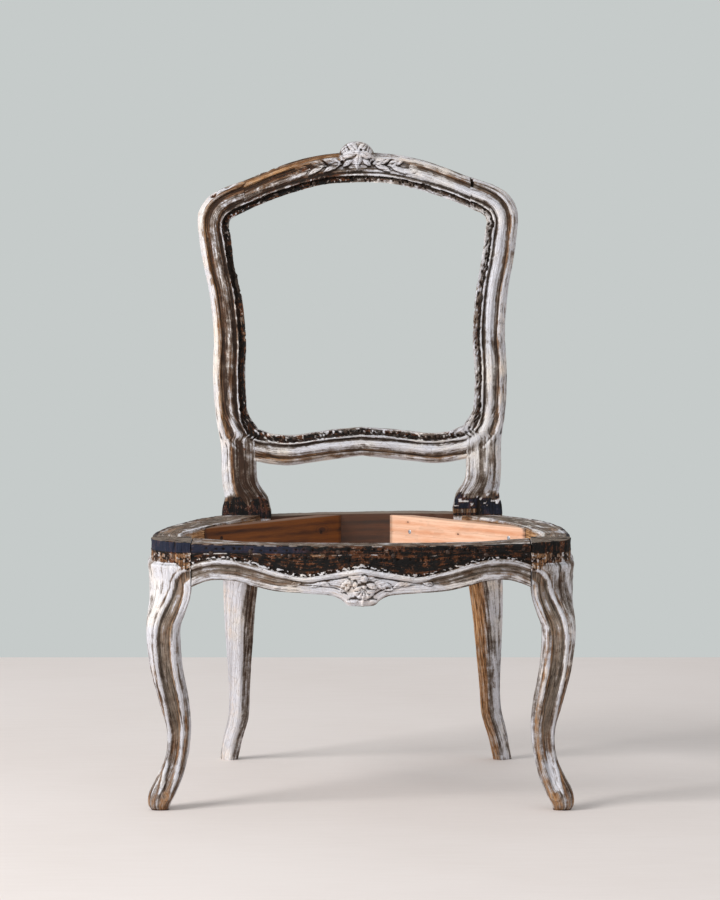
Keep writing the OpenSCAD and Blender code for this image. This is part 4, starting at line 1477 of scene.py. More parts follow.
class LowerBackRail:
    """The serpentine rail under the back's opening."""

    def front(self, across: Array, up: Array, u: Array, width: Array) -> Array:
        """Depth of the rail's front."""
        gap, _ = gap_to(OPENING, np.abs(across), up)
        return BackMoulding().depth(gap, width[:, None])

    def build(self, finish: Finish) -> Piece:
        """Builds the rail.

        Args:
            finish: The piece's material.

        Returns:
            The piece.
        """
        end = SIZES.lower_joint
        x = np.linspace(-end, end, 150)
        inner = joined(x, BACK.lower_top(x))
        outer = joined(x, BACK.lower_low(x))
        skin, u, front = BackMember(inner, outer, np.full(len(x), SIZES.back_t - 3), self.front).skin()
        away = np.abs(skin.rings[..., 0])
        fitted = ease((away / SIZES.lower_joint - 0.86) / 0.14)
        skin.rings[..., 0] += np.sign(skin.rings[..., 0]) * fitted * (
            BACK.inner(skin.rings[..., 2]) + 1.2 - end)
        gap, _ = gap_to(OPENING, np.abs(skin.rings[..., 0]), skin.rings[..., 2])
        back_marks(skin, gap, front, 77)
        is_front = skin.is_first(front)
        skin.push(-2.2 * hump((u - REBATE_EDGE) / 1.6) * is_front * specks(skin.rings, 8.0, 2, 0.5, 4))
        skin.weather()
        skin.rings = racked(skin.rings)
        return skin.piece("lower_back_rail", finish)


# ---- carving


@dataclass(frozen=True)
class Leaf:
    """A pointed or oval leaf with a midrib and slanting veins."""

    x: float
    z: float
    length: float
    width: float
    angle: float
    veins: float = 3.0
    point: float = 1.0
    high: float = 0.8

    def height(self, across: Array, up: Array) -> Array:
        """Relief from 0 to about 1.

        Args:
            across: Distance from the middle.
            up: Height.

        Returns:
            Heights over the ground.
        """
        a = math.radians(self.angle)
        dx, dz = across - self.x, up - self.z
        s = (dx * math.cos(a) + dz * math.sin(a)) / (self.length / 2)
        t = (-dx * math.sin(a) + dz * math.cos(a)) / (self.width / 2)
        belly = np.maximum(0, 1 - np.abs(s) ** 2) ** (0.5 + 0.5 * self.point)
        across_leaf = np.abs(t) / np.maximum(belly, 1e-3)
        body = ease((1 - across_leaf) / 0.35) * (belly > 0)
        crown = 0.45 + 0.55 * np.sqrt(np.clip(1 - across_leaf**2, 0, 1))
        vein = 0.15 * np.cos(self.veins * math.pi * (s + 0.6 * np.abs(t))) * (self.veins > 0)
        rib = -0.22 * hump(t / 0.16)
        return self.high * body * (crown + vein + rib)


@dataclass(frozen=True)
class Boss:
    """A round seed or a dimple."""

    x: float
    z: float
    radius: float
    high: float = 1.0

    def height(self, across: Array, up: Array) -> Array:
        """Relief of the ball."""
        gap = np.hypot(across - self.x, up - self.z) / self.radius
        return self.high * np.sqrt(np.clip(1 - gap**2, 0, 1))


@dataclass(frozen=True)
class Fan:
    """A shell of rays that spread from one point."""

    x: float
    z: float
    radius: float
    rays: float
    facing: float
    spread: float
    high: float = 0.9

    def height(self, across: Array, up: Array) -> Array:
        """Relief of the fluted shell.

        Args:
            across: Distance from the middle.
            up: Height.

        Returns:
            Heights over the ground.
        """
        dx, dz = across - self.x, up - self.z
        gap = np.hypot(dx, dz) / self.radius
        turn = np.arctan2(dz, dx) - math.radians(self.facing)
        turn = np.abs((turn + math.pi) % (2 * math.pi) - math.pi) / math.radians(self.spread)
        body = ease((1 - gap) / 0.2) * ease((1 - turn) / 0.15) * ease(gap / 0.12)
        flute = 0.72 + 0.28 * np.cos(turn * math.pi * self.rays)
        return self.high * body * flute * (0.6 + 0.4 * gap)


@dataclass(frozen=True)
class Carving:
    """Carved forms on one face, each told by its fields; where they meet, the higher shows."""

    leaves: tuple[Sequence[float], ...]
    bosses: tuple[Sequence[float], ...]
    fans: tuple[Sequence[float], ...] = ()
    cuts: tuple[Sequence[float], ...] = ()

    def height(self, across: Array, up: Array) -> Array:
        """Highest form at each point, less the cuts.

        Args:
            across: Distance from the middle.
            up: Height.

        Returns:
            Heights over the ground.
        """
        total = np.zeros(np.shape(across))
        for kind, rows in ((Leaf, self.leaves), (Boss, self.bosses), (Fan, self.fans)):
            for row in rows:
                total = np.maximum(total, kind(*row).height(across, up))
        for cut in self.cuts:
            total = total - Boss(*cut).height(across, up)
        return total


CREST_CARVING = Carving(
    leaves=(
        (-16.5, 3.0, 20, 13, 106, 0, 0.2, 0.9), (17.5, 2.0, 19, 12, 76, 0, 0.2, 0.85),
        (-6.0, 9.5, 22, 15, 128, 0, 0.2, 1.12), (9.0, 8.5, 21, 14, 48, 0, 0.2, 1.0),
        (12.5, -2.5, 20, 14, -18, 0, 0.2, 1.08), (2.5, -9.0, 18, 13, 80, 0, 0.3, 1.12),
        (-11, -2.0, 22, 14, 12, 0, 0.2, 1.0), (-13, -14, 17, 9, 34, 1, 0.6, 0.95),
        (14, -13, 17, 9, 140, 1, 0.6, 0.9), (0.5, -17, 16, 7, 90, 0, 0.7, 1.0),
        (-24, -9, 26, 16, -10, 0, 0.5, 0.5), (26, -8, 26, 16, 10, 0, 0.5, 0.5),
        (-35, -11, 30, 13, -18, 3, 0.8, 0.9), (-37, -20, 27, 9, 20, 2, 0.9, 0.75),
        (-57, -11, 30, 12, -24, 3, 0.9, 0.85), (-60, -20, 27, 9, 24, 2, 0.9, 0.7),
        (-79, -14, 26, 10, -14, 3, 1.0, 0.7), (-82, -22, 20, 7, 12, 2, 1.0, 0.55),
        (36, -11, 30, 13, 20, 3, 0.8, 0.9), (37, -20, 27, 9, -20, 2, 0.9, 0.75),
        (57, -11, 29, 12, 26, 3, 0.9, 0.85), (60, -20, 26, 9, -20, 2, 0.9, 0.7),
        (76, -20, 24, 8, 10, 2, 1.0, 0.6),
    ),
    bosses=(
        (1, -2, 24, 0.62), (1.5, 1.5, 5.2, 1.3), (83, -14, 6.5, 0.75),
    ),
    cuts=(
        (6.5, 4.5, 2.2, 0.5), (-21, -13, 3.4, 0.6), (-46, -16, 3.2, 0.6), (-69, -16, 3.0, 0.5),
        (23, -14, 2.8, 0.6), (46, -16, 3.2, 0.6),
    ),
)
APRON_CARVING = Carving(
    leaves=(
        (-8, -52, 8.5, 8, 90, 1, 0.2, 0.8), (15, -54, 15, 9, 160, 1, 0.4, 0.9),
        (-4, -57, 12, 7, 25, 1, 0.4, 0.85), (13, -62, 13, 7, 20, 1, 0.4, 0.8),
        (2.5, -74, 17, 3.4, 88, 0, 0.6, 1.25), (-21, -54, 20, 14, 52, 4, 0.2, 0.85),
        (31, -54, 27, 13, 158, 4, 0.2, 0.85), (-53, -50, 25, 9, 158, 3, 0.8, 0.75),
        (-60, -53, 17, 7, 18, 3, 0.8, 0.6), (56, -51, 29, 8, 26, 3, 0.8, 0.75),
        (68, -49, 24, 7, 34, 3, 0.8, 0.65), (91, -51, 16, 8, -12, 2, 0.5, 0.75),
        (-88, -51, 14, 8, 12, 2, 0.5, 0.6), (-12, -75, 15, 5, 4, 0, 0.3, 0.8),
        (17, -75, 14, 5, -4, 0, 0.3, 0.8),
    ),
    bosses=(
        (4.5, -44.5, 5.0, 1.1), (4.5, -55, 2.8, 1.15),
    ),
    fans=(
        (4.0, -57, 16.5, 5.5, 270, 78, 1.1),
    ),
)


# ---- the seat's front


class FrontLine:
    """The front rail's and the front legs' outlines, and the arch that their moulding follows."""

    APRON_DROP: Rows = [[0, 81.4], [0.068, 81], [0.084, 79.3], [0.115, 73], [0.17, 67.5], [0.34, 64.5],
                        [0.5, 62], [0.62, 56], [0.73, 49.5], [0.82, 48], [0.9, 50.5], [1, 60]]
    BAND_DROP: Rows = [[0, 30], [0.19, 38], [0.33, 42.5], [0.5, 35], [0.62, 27], [0.73, 21.5], [0.82, 20],
                       [0.9, 22], [1, 29]]
    LEG_IN: Rows = [[0, -5], [0.02, -6.5], [0.065, -1.5], [0.12, 8], [0.175, 15.5], [0.235, 19.5],
                    [0.3, 19.9], [0.36, 16.5], [0.435, 11], [0.53, 4], [0.62, 0.4], [0.69, 0], [0.75, 2],
                    [0.82, 5.5], [1, 8]]
    INNER_BEAD: Rows = [[0, 6], [0.12, 8.5], [0.235, 10.5], [0.4, 9.5], [0.62, 8.5], [0.75, 7], [0.84, 6]]
    OUTER_BEAD: Rows = [[0, 17], [0.05, 21], [0.12, 26], [0.235, 28.5], [0.4, 33], [0.62, 34], [0.72, 32],
                        [0.8, 28], [0.84, 24.5]]

    def face(self, x: Array) -> Array:
        """Depth of the front rail's face."""
        return SIZES.front_depth + SIZES.front_bow * (x / SIZES.rail_end) ** 2

    def apron(self, x: Array) -> Array:
        """Height of the front rail's lower edge."""
        return SEAT_H - curve(self.APRON_DROP, np.abs(x) / SIZES.rail_end)

    def band(self, x: Array) -> Array:
        """Height of the edge between the tacked band and the moulding."""
        return SEAT_H - curve(self.BAND_DROP, np.abs(x) / SIZES.rail_end)

    def leg_width(self, share: Array) -> Array:
        """Width of a front leg by share of the seat's height.

        Args:
            share: Shares of the seat's height.

        Returns:
            Widths.
        """
        ankle, knee = SIZES.ankle_w, SIZES.knee_w
        mid = (knee + ankle) / 2
        return curve([[0, ankle - 7], [0.02, ankle - 1], [0.065, ankle + 6.5], [0.12, ankle + 4.5],
                      [0.175, ankle + 0.5], [0.235, ankle], [0.3, ankle + 2.6], [0.36, mid - 0.5],
                      [0.435, mid + 3], [0.53, knee - 2.8], [0.62, knee - 1.4], [0.69, knee],
                      [0.75, knee + 3], [1, knee + 6]], share)

    def leg_middle(self, z: Array) -> tuple[Array, Array]:
        """Where a front leg's middle lies, across and in depth."""
        lean = curve(self.LEG_IN, z / SEAT_H)
        return SIZES.knee_span / 2 - SIZES.knee_w / 2 - lean, SIZES.knee_depth + lean

    def corner_share(self, z: Array) -> Array:
        """0 on the leg's own section, 1 on the corner block's."""
        return ease((z - (SEAT_H - 122)) / 62)

    def leg_edge(self, z: Array) -> Array:
        """A front leg's inner edge as seen from the front.

        Args:
            z: Heights.

        Returns:
            Distances from the middle.
        """
        middle, _ = self.leg_middle(z)
        plain = middle - self.leg_width(z / SEAT_H) / 2
        return mix(plain, SIZES.rail_end, self.corner_share(z))

    def arch(self) -> Array:
        """Right half of the arch, from the middle of the apron to the foot.

        Returns:
            Its points, across and up.
        """
        x = np.linspace(0, SIZES.rail_end, 120)
        z = np.linspace(float(self.apron(SIZES.rail_end)), 0, 130)[1:]
        return np.concatenate([joined(x, self.apron(x)), joined(self.leg_edge(z), z)])


FRONT = FrontLine()
ARCH = FRONT.arch()
BAND_RUN = np.linspace(0, SIZES.rail_end, 100)
BAND_EDGE = joined(BAND_RUN, FRONT.band(BAND_RUN))
CHANNEL = 4.4


class FrontRail:
    """The bowed front rail: tacked band, mouldings and the apron's carved flower."""

    CORNER_FILL = 30.0

    def front(self, across: Array, up: Array) -> tuple[Array, dict[str, Array]]:
        """Relief of the rail's face.

        Args:
            across: Where each point is, across.
            up: And its height.

        Returns:
            Depth behind the frontmost bead, and the zones that the finish needs.
        """
        x = np.abs(across)
        low, _ = gap_to(ARCH[:150], x, up)
        high, _ = gap_to(BAND_EDGE, x, up)
        on_band = up > FRONT.band(across)
        lower_bead = moulding(low, (0, 2.5, 6, 9.5, 10.8, 12.5), (1.8, 0.9, 0.4, 1.3, 3.4, CHANNEL))
        upper_bead = moulding(high, (0, 1.4, 3.6, 6, 7.4, 9), (2.6, 0.8, 0, 1.0, 3.0, CHANNEL))
        middle = hump(across / 108)
        ground = mix(CHANNEL, 1.7, ease(middle * 2.2) * ease((high - 8) / 3) * ease((low - 10) / 3))
        mouldings = np.minimum(np.minimum(lower_bead, upper_bead), ground)
        tablet = ease((20 - x) / 4) * ease((low - 1) / 3)
        mouldings = mix(mouldings, np.minimum(mouldings, 1.7), tablet)
        carved = APRON_CARVING.height(across, up - SEAT_H) * ease((high - 7) / 2)
        mouldings = mouldings - 4.2 * carved
        at = joined(across, 0, up)
        torn = FLECK.layered(at, (13, 9, 5), 3) - 0.5
        rough = FLECK.layered(at + 60, (5, 5, 4), 2) - 0.5
        ledge_drop = 11.5 + 3.0 * (SWELL.read(at, (60, 60, 60)) - 0.5)
        ledge = hump((SEAT_H - ledge_drop - up) / 1.6)
        below = ease((SEAT_H - ledge_drop - up) / 2)
        band = 4.6 + 1.2 * ledge + 3.2 * torn + 1.6 * rough + 0.9 * below
        signed = np.where(on_band, high, -high)
        ragged = 6.0 * (SWELL.layered(at + 12, (15, 15, 15), 2) - 0.3)
        near = ease((signed + 2.5) / 2) * ease((5.0 + 0.8 * ragged - signed) / 3)
        crumbs = near * specks(at + 5, (2.8, 4, 2.2), 2, 0.44, 6)
        relief = np.where(on_band, band, mouldings)
        relief = relief - crumbs * np.where(on_band, 3.0, 1.2)
        return relief, {"low": low, "high": high, "band": on_band.astype(float), "carved": carved,
                        "crumbs": crumbs, "ledge": hump((SEAT_H - ledge_drop - 1.8 - up) / 1.3),
                        "above": 1 - below}

    def build(self, finish: Finish) -> Piece:
        """Builds the rail.

        Args:
            finish: The piece's material.

        Returns:
            The piece.
        """
        end = SIZES.rail_end + 1.2
        outer = np.concatenate([[end, end - 1.2, end - 2.2], np.arange(end - 3.4, 100, -1.4)])
        middle = np.arange(100, 0.5, -0.95)
        x = np.concatenate([-outer, -middle, [0.0], middle[::-1], outer[::-1]])
        band, low = FRONT.band(x)[:, None], FRONT.apron(x)[:, None]
        fill = self.CORNER_FILL * ease((np.abs(x) / SIZES.rail_end - 0.62) / 0.38)
        thick = (SIZES.front_rail_t + fill)[:, None]
        heights = np.concatenate([mix(SEAT_H - 1.6, band + 0.6, steps(27)),
                                  mix(band + 0.6, low + 1.4, steps(36))], axis=1)
        across = x[:, None] + 0 * heights
        relief, zone = self.front(across, heights)
        swell = 5.0 * hump(across / 42) * ease((band + 2 - heights) / 6)
        face = -5.5 + relief - 0.8 * swell
        tops = mix(thick - 2.0, 1.6, steps(18))
        edge = np.array([[[1.6, 0.6, 0.0]], [[0.0, -0.4, -1.0]]])
        depth, up = ring_of(
            (tops, SEAT_H),
            (edge[0], SEAT_H + edge[1]),
            (face, heights),
            (mix(face[:, -1:] + 1.0, thick - 12, steps(9)), low + 0.3 * steps(9)),
            (mix(thick - 12, thick, steps(4)), mix(low + 0.3, low + 14, steps(4))),
            (thick, mix(low + 14, SEAT_H - 1.5, steps(9))))
        ring_x = x[:, None] + 0 * depth
        rings = joined(ring_x, FRONT.face(ring_x) + depth, up)
        skin = Skin(rings)
        count = heights.shape[1]
        first = tops.shape[1] + edge.shape[2]
        zones = {key: self.spread(value, rings.shape[:2], first, count) for key, value in zone.items()}
        self.dress(skin, zones, first, count)
        crack = ease((np.abs(rings[..., 0]) - SIZES.rail_end + 2.2) / 1.8)
        skin.weather(0.7)
        skin.push(-2.6 * crack)
        skin.mark(grime_and_shade=skin.marks["grime_and_shade"] + 1.3 * crack)
        skin.mark(stain=skin.marks["stain"] + crack)
        return skin.piece("front_rail", finish)

    @staticmethod
    def spread(value: Array, shape: tuple[int, int], first: int, count: int) -> Array:
        """Values of the face, with zeros round the rest of the ring.

        Args:
            value: Values on the face.
            shape: Stations, and points in each ring.
            first: Index of the face's first point in each ring.
            count: How many of each ring's points lie on the face.

        Returns:
            Values on the whole rings.
        """
        full = np.zeros(shape)
        full[:, first : first + count] = value
        return full

    def dress(self, skin: Skin, zone: dict[str, Array], first: int, count: int) -> None:
        """Marks: pale beads and flower, grey channel, black band with rust, and greyed top.

        Args:
            skin: The skin to mark.
            zone: Shares and distances that tell the face's zones.
            first: Index of the face's first point in each ring.
            count: How many of each ring's points lie on the face.
        """
        rings = skin.rings
        index = np.arange(rings.shape[1])[None, :] + np.zeros(rings.shape[:2])
        on_face = (index >= first) & (index < first + count)
        on_top = index < first
        moulded = on_face & (zone["band"] < 0.5)
        flaked = SWELL.layered(rings + 17, (13, 13, 9), 3) - 0.5
        streaks = skin.fibres(5.0, 60.0, 21.0)
        near_low = hump((zone["low"] - 5.5) / 6)
        near_high = hump((zone["high"] - 3.6) / 4)
        middle = hump(rings[..., 0] / 120)
        paint = 0.26 + 0.4 * near_low + 0.48 * near_high + 0.42 * ease(middle * 2) + 0.12 * zone["carved"]
        flecks = specks(rings * [0.6, 1, 1] + 70, 2.6, 2, 0.62, 10)
        band_paint = np.maximum(0.8 * zone["crumbs"], 0.55 * zone["ledge"] + streaks + 0.4 * flecks)
        paint = np.where(moulded, paint + 0.6 * flaked + 0.5 * streaks, np.where(on_face, band_paint, 0.2))
        paint = np.maximum(paint, 0.72 * zone["crumbs"])
        x, drop = rings[..., 0], SEAT_H - rings[..., 2]
        behind = rings[..., 1] - FRONT.face(x)
        holes = np.maximum(pits(x, drop, 12.0, 6.5, 1.7, 3), pits(x, drop, 8.0, 18.5, 1.5, 4))
        top_holes = pits(x, behind, 13.0, 8.0, 1.5, 6) * on_top
        holes = np.maximum(holes * on_face * (1 - moulded), top_holes)
        skin.push(-1.9 * holes)
        top_paint = 0.26 + 0.9 * flaked + 0.8 * streaks
        skin.mark(paint=np.where(on_top, top_paint, paint))
        warm = 0.45 + 0.4 * zone["carved"] + 0.45 * near_low + 0.3 * hump(zone["low"] / 3) + 0.3 * middle
        skin.mark(warm=np.where(moulded, warm, 0.45))
        lip = within(behind, -20, 4.5, 3.0) * on_top
        worn = ease(FLECK.layered(rings + 30, (16, 9, 7), 3) * 5 - 1.7)
        band = (0.5 + 0.55 * worn + 0.3 * ease(rings[..., 0] / 120)) * (1 - 0.8 * zone["crumbs"])
        band = band - 0.35 * zone["ledge"]
        patches = 0.5 * on_top * ease(FLECK.layered(rings + 44, (30, 5, 9), 3) * 5 - 2.4)
        skin.mark(stain=np.where(on_face & ~moulded, band, 0.9 * lip * worn + patches))
        skin.mark(grime_and_shade=0.9 * holes)
        leftwards = 0.28 + 0.55 * ease((-rings[..., 0] - 30) / 110)
        skin.mark(indigo=leftwards * zone["above"] * on_face * (1 - moulded) + 0.5 * leftwards * lip)
        skin.mark(grey=np.where(on_top, 0.55, np.where(moulded, 0.6 - 0.4 * near_low - 0.3 * middle, 0.1)))


class FrontLeg(Paired):
    """Cabriole leg and seat corner block in one."""

    def plan(self, place: Array) -> tuple[Array, Array, Array, Array]:
        """The corner block's outline.

        Args:
            place: Place round the ring, from 0 to 16.

        Returns:
            Distance from the block's inner face, depth, and how far the moulding leads out sideways and
            forwards.
        """
        b, f, d = SIZES.corner_block, float(FRONT.face(SIZES.rail_end)), SIZES.block_back
        rows = np.array([[6, d, 0, 0], [0, d - 6, 0, 0], [0, mix(f, d, 0.7), 0, 0],
                         [0, mix(f, d, 0.35), 0, 0], [0, f, 0, 1], [0.18 * b, f + 2.5, 0.1, 1],
                         [0.36 * b, f + 6.5, 0.2, 1], [0.54 * b, f + 12, 0.4, 0.9],
                         [0.7 * b, f + 20, 0.7, 0.7], [0.85 * b, f + 31, 0.9, 0.4],
                         [0.955 * b, f + 45, 1, 0.2], [b, f + 60, 1, 0.1], [b, d, 1, 0], [0.78 * b, d, 0, 0],
                         [0.56 * b, d, 0, 0], [0.34 * b, d, 0, 0], [6, d, 0, 0]])
        index = np.arange(17)
        straight = [np.interp(place, index, column) for column in rows.T]
        bend = slice(4, 12)
        bent = [curve(np.stack([index[bend], column[bend]], axis=1), place) for column in rows.T]
        in_bend = (place >= 4) & (place <= 11)
        return tuple(np.where(in_bend, b_, s_) for b_, s_ in zip(bent, straight))

    def rings(self, z: Array, place: Array) -> tuple[Array, Array]:
        """The leg's rings before its moulding.

        Args:
            z: Heights of the stations.
            place: Places round a ring, from 0 to 16.

        Returns:
            The rings, and how far out the knee's panel stands.
        """
        up = z[:, None]
        share = FRONT.corner_share(up)
        width = FRONT.leg_width(up / SEAT_H)
        middle, depth = FRONT.leg_middle(up)
        angle = np.radians(135 + 22.5 * place)[None, :]
        reach = (np.abs(np.cos(angle)) ** 3.2 + np.abs(np.sin(angle)) ** 3.2) ** (-1 / 3.2) * width / 2
        across_block, depth_block, sideways, forwards = self.plan(place)
        panel = curve([[-90, 2], [-62, 3], [-52, 3], [-42, 3.8], [-35, 5.0], [-31, 4.2], [-28.5, 0.6],
                       [-26, 0], [0, 0]], up - SEAT_H)
        rough = FLECK.layered(joined(across_block, depth_block, up), 7.0, 2) - 0.5
        panel = panel + 1.6 * rough * ease((up - SEAT_H + 30) / 3)
        x = mix(middle + reach * np.cos(angle), SIZES.rail_end + across_block + panel * sideways, share)
        y = mix(depth + reach * np.sin(angle), depth_block - panel * forwards, share)
        return joined(x, y, up), share

    def relief(self, rings: Array) -> tuple[Array, dict[str, Array]]:
        """How far the beads and the channel lie below the knee's panel.

        Args:
            rings: The leg's rings before its moulding.

        Returns:
            The depth, and the zones that the finish needs.
        """
        up = rings[..., 2]
        gap, way = gap_to(ARCH, rings[..., 0], up)
        height = np.interp(way, np.linspace(0, 1, len(ARCH)), ARCH[:, 1]) / SEAT_H
        inner = curve(FRONT.INNER_BEAD, np.minimum(height, 0.84))
        outer = curve(FRONT.OUTER_BEAD, np.minimum(height, 0.84))
        first = moulding(gap, (0, inner - 3.4, inner, inner + 3.4, inner + 4.6, inner + 6),
                         (1.4, 1.0, 0.3, 1.2, 3.4, CHANNEL))
        second = moulding(gap - outer, (-5, -3.6, -2.4, 0, 2.4, 3.4, 5.5),
                          (CHANNEL, 3.2, 1.2, 0.0, 0.5, 0.8, 0.3))
        hollow = np.minimum(first, second)
        foot = ease((up - 19) / 14)
        curl = hump((np.hypot(rings[..., 0] - 268, up - 20) - 5.5) / 3) * ease((34 - up) / 8)
        facing = ease((-normals_of(rings)[..., 1] - 0.15) / 0.4)
        drop = SEAT_H - up
        lower = 28.5 + 9.0 * ease((SIZES.rail_end + 24 - rings[..., 0]) / 22)
        on_band = ease((lower - drop) / 2)
        depth = mix(0.5, hollow, foot) - 2.0 * curl
        depth = mix(depth, 0.5, on_band)
        zones = {"gap": gap, "inner": inner, "outer": outer, "facing": facing, "foot": foot,
                 "lower": lower - drop}
        return (depth - 0.5) * facing, zones

    def build(self, finish: Finish) -> Piece:
        """Builds the leg.

        Args:
            finish: The piece's material.

        Returns:
            The piece.
        """
        z = np.concatenate([np.arange(0, 40, 1.6), np.arange(40, 240, 2.2),
                            np.arange(240, SEAT_H - 1, 1.5), [SEAT_H + SIZES.leg_proud - 1.0]])
        front = np.linspace(4, 11.2, 74, endpoint=False)
        place = np.concatenate([np.linspace(0, 4, 14, endpoint=False), front,
                                np.linspace(11.2, 16, 16, endpoint=False)])
        rings, share = self.rings(z, place)
        depth, zones = self.relief(rings)
        skin = Skin(rings)
        skin.push(-depth)
        outside = (place >= 3.9) & (place <= 12.05)
        self.dress(skin, zones, share * outside)
        skin.rings = skin.rings * [self.side.value, 1, 1]
        skin.weather()
        skin.rings[..., 2] = np.maximum(skin.rings[..., 2], 0)
        self.top(skin)
        return skin.piece(self.named("front_leg"), finish)

    def top(self, skin: Skin) -> None:
        """Rounds the block's top edge and adds rings towards its middle, so that the top can be worn.

        Args:
            skin: The skin that gets the rings.
        """
        edge = skin.rings[-1]
        hub = (edge.min(axis=0) + edge.max(axis=0)) / 2
        rows = hub + (edge - hub) * np.r_[0.985, np.linspace(0.95, 0.1, 16)][:, None, None]
        rows[..., 2] = SEAT_H + SIZES.leg_proud - 0.2 + 0.8 * (FLECK.layered(rows, 9.0, 2) - 0.5)
        noise = SWELL.layered(rows, 12.0, 2)
        skin.rings = np.concatenate([skin.rings, rows])
        top_marks = {"paint": 0.15 + 0.5 * (noise - 0.5), "warm": 0.35, "stain": 0.35 + 1.2 * (noise - 0.5),
                     "grime_and_shade": 0.15, "indigo": 0.0, "grey": 0.75}
        for name, value in skin.marks.items():
            part = np.broadcast_to(top_marks[name], noise.shape)
            skin.marks[name] = np.clip(np.concatenate([value, part]), 0, 1)

    def dress(self, skin: Skin, zone: dict[str, Array], share: Array) -> None:
        """Marks: pale beads and knee, brown channel, black band round the corner.

        Args:
            skin: The skin to mark.
            zone: Shares and distances that tell the leg's zones.
            share: Share of the seat's height at each point.
        """
        rings = skin.rings
        up = rings[..., 2]
        drop = SEAT_H - up
        streaks = skin.fibres(7.0, 70.0, 40.0)
        chips = FLECK.layered(rings + 60, 12.0, 3) - 0.5
        gap, inner, outer = zone["gap"], zone["inner"], zone["outer"]
        inner_bead = hump((gap - inner) / 4.5) * (0.35 if self.right else 1.0)
        bead = np.maximum(inner_bead, hump((gap - outer) / 4.0))
        low = ease((100 - up) / 50)
        channel = ease((gap - inner - 3) / 2) * ease((outer - 2.5 - gap) / 2)
        orange = hump((gap - outer - 4.5) / 4) + hump((gap - inner - 5) / 2.5)
        orange = orange + self.right * hump((gap - inner + 2) / 5)
        panel = ease((gap - outer - 3) / 3)
        knee = ease((up - 140) / 70)
        face = zone["facing"] * zone["foot"]
        panel_paint = mix(0.45, 0.95, knee) - (0.42 if self.right else 0.0)
        in_channel = low * (0.75 if self.right else 0.3) - 0.26
        base = 0.34 + 0.6 * bead + in_channel * channel - 0.3 * (1 - knee) * hump((gap - outer - 4.5) / 3)
        paint = mix(0.25, mix(base, panel_paint, panel), face)
        paint = mix(0.42 if self.right else 0.6, paint, zone["facing"]) + 0.6 * streaks + 0.5 * chips
        on_out = ease(zone["lower"] / 2) * share
        crumbs = on_out * ease((drop - 12) / 3) * specks(rings + 5, 2.4, 2, 0.52, 8)
        skin.push(1.0 * crumbs)
        pleats = on_out * ease((14 - drop) / 2) * (FLECK.layered(rings * [1, 1, 0.15], 5.0, 2) - 0.4)
        skin.push(3.0 * pleats)
        skin.mark(paint=mix(paint, 0.05 + 0.42 * crumbs, on_out))
        skin.mark(warm=0.35 + 0.5 * orange * zone["facing"] + 0.3 * channel * ease((150 - up) / 60)
                  + 0.3 * on_out + 0.3 * hump((up - 10) / 22))
        ragged = ease(FLECK.layered(rings + 2, (8, 8, 6), 3) * 5 - 1.6)
        stain = mix(0.62 + 0.5 * ragged, 0.1 + 0.6 * ragged, ease((drop - 12) / 3)) - 0.6 * crumbs
        skin.mark(stain=on_out * stain + 0.5 * ease((5 - up) / 4))
        # A dark line along the panel's step under the band, and darker towards the bottom of the foot.
        arc = hump((drop - 30.5) / 1.6) * panel * zone["facing"] * share
        skin.mark(grime_and_shade=0.25 * ease((14 - up) / 9) + 0.8 * arc)
        skin.mark(indigo=on_out * ease((14 - drop) / 3) * (0.3 if self.right else 1.0))
        skin.mark(grey=0.3 + 0.4 * channel * face * ease((up - 60) / 60))


# ---- the seat's sides and back


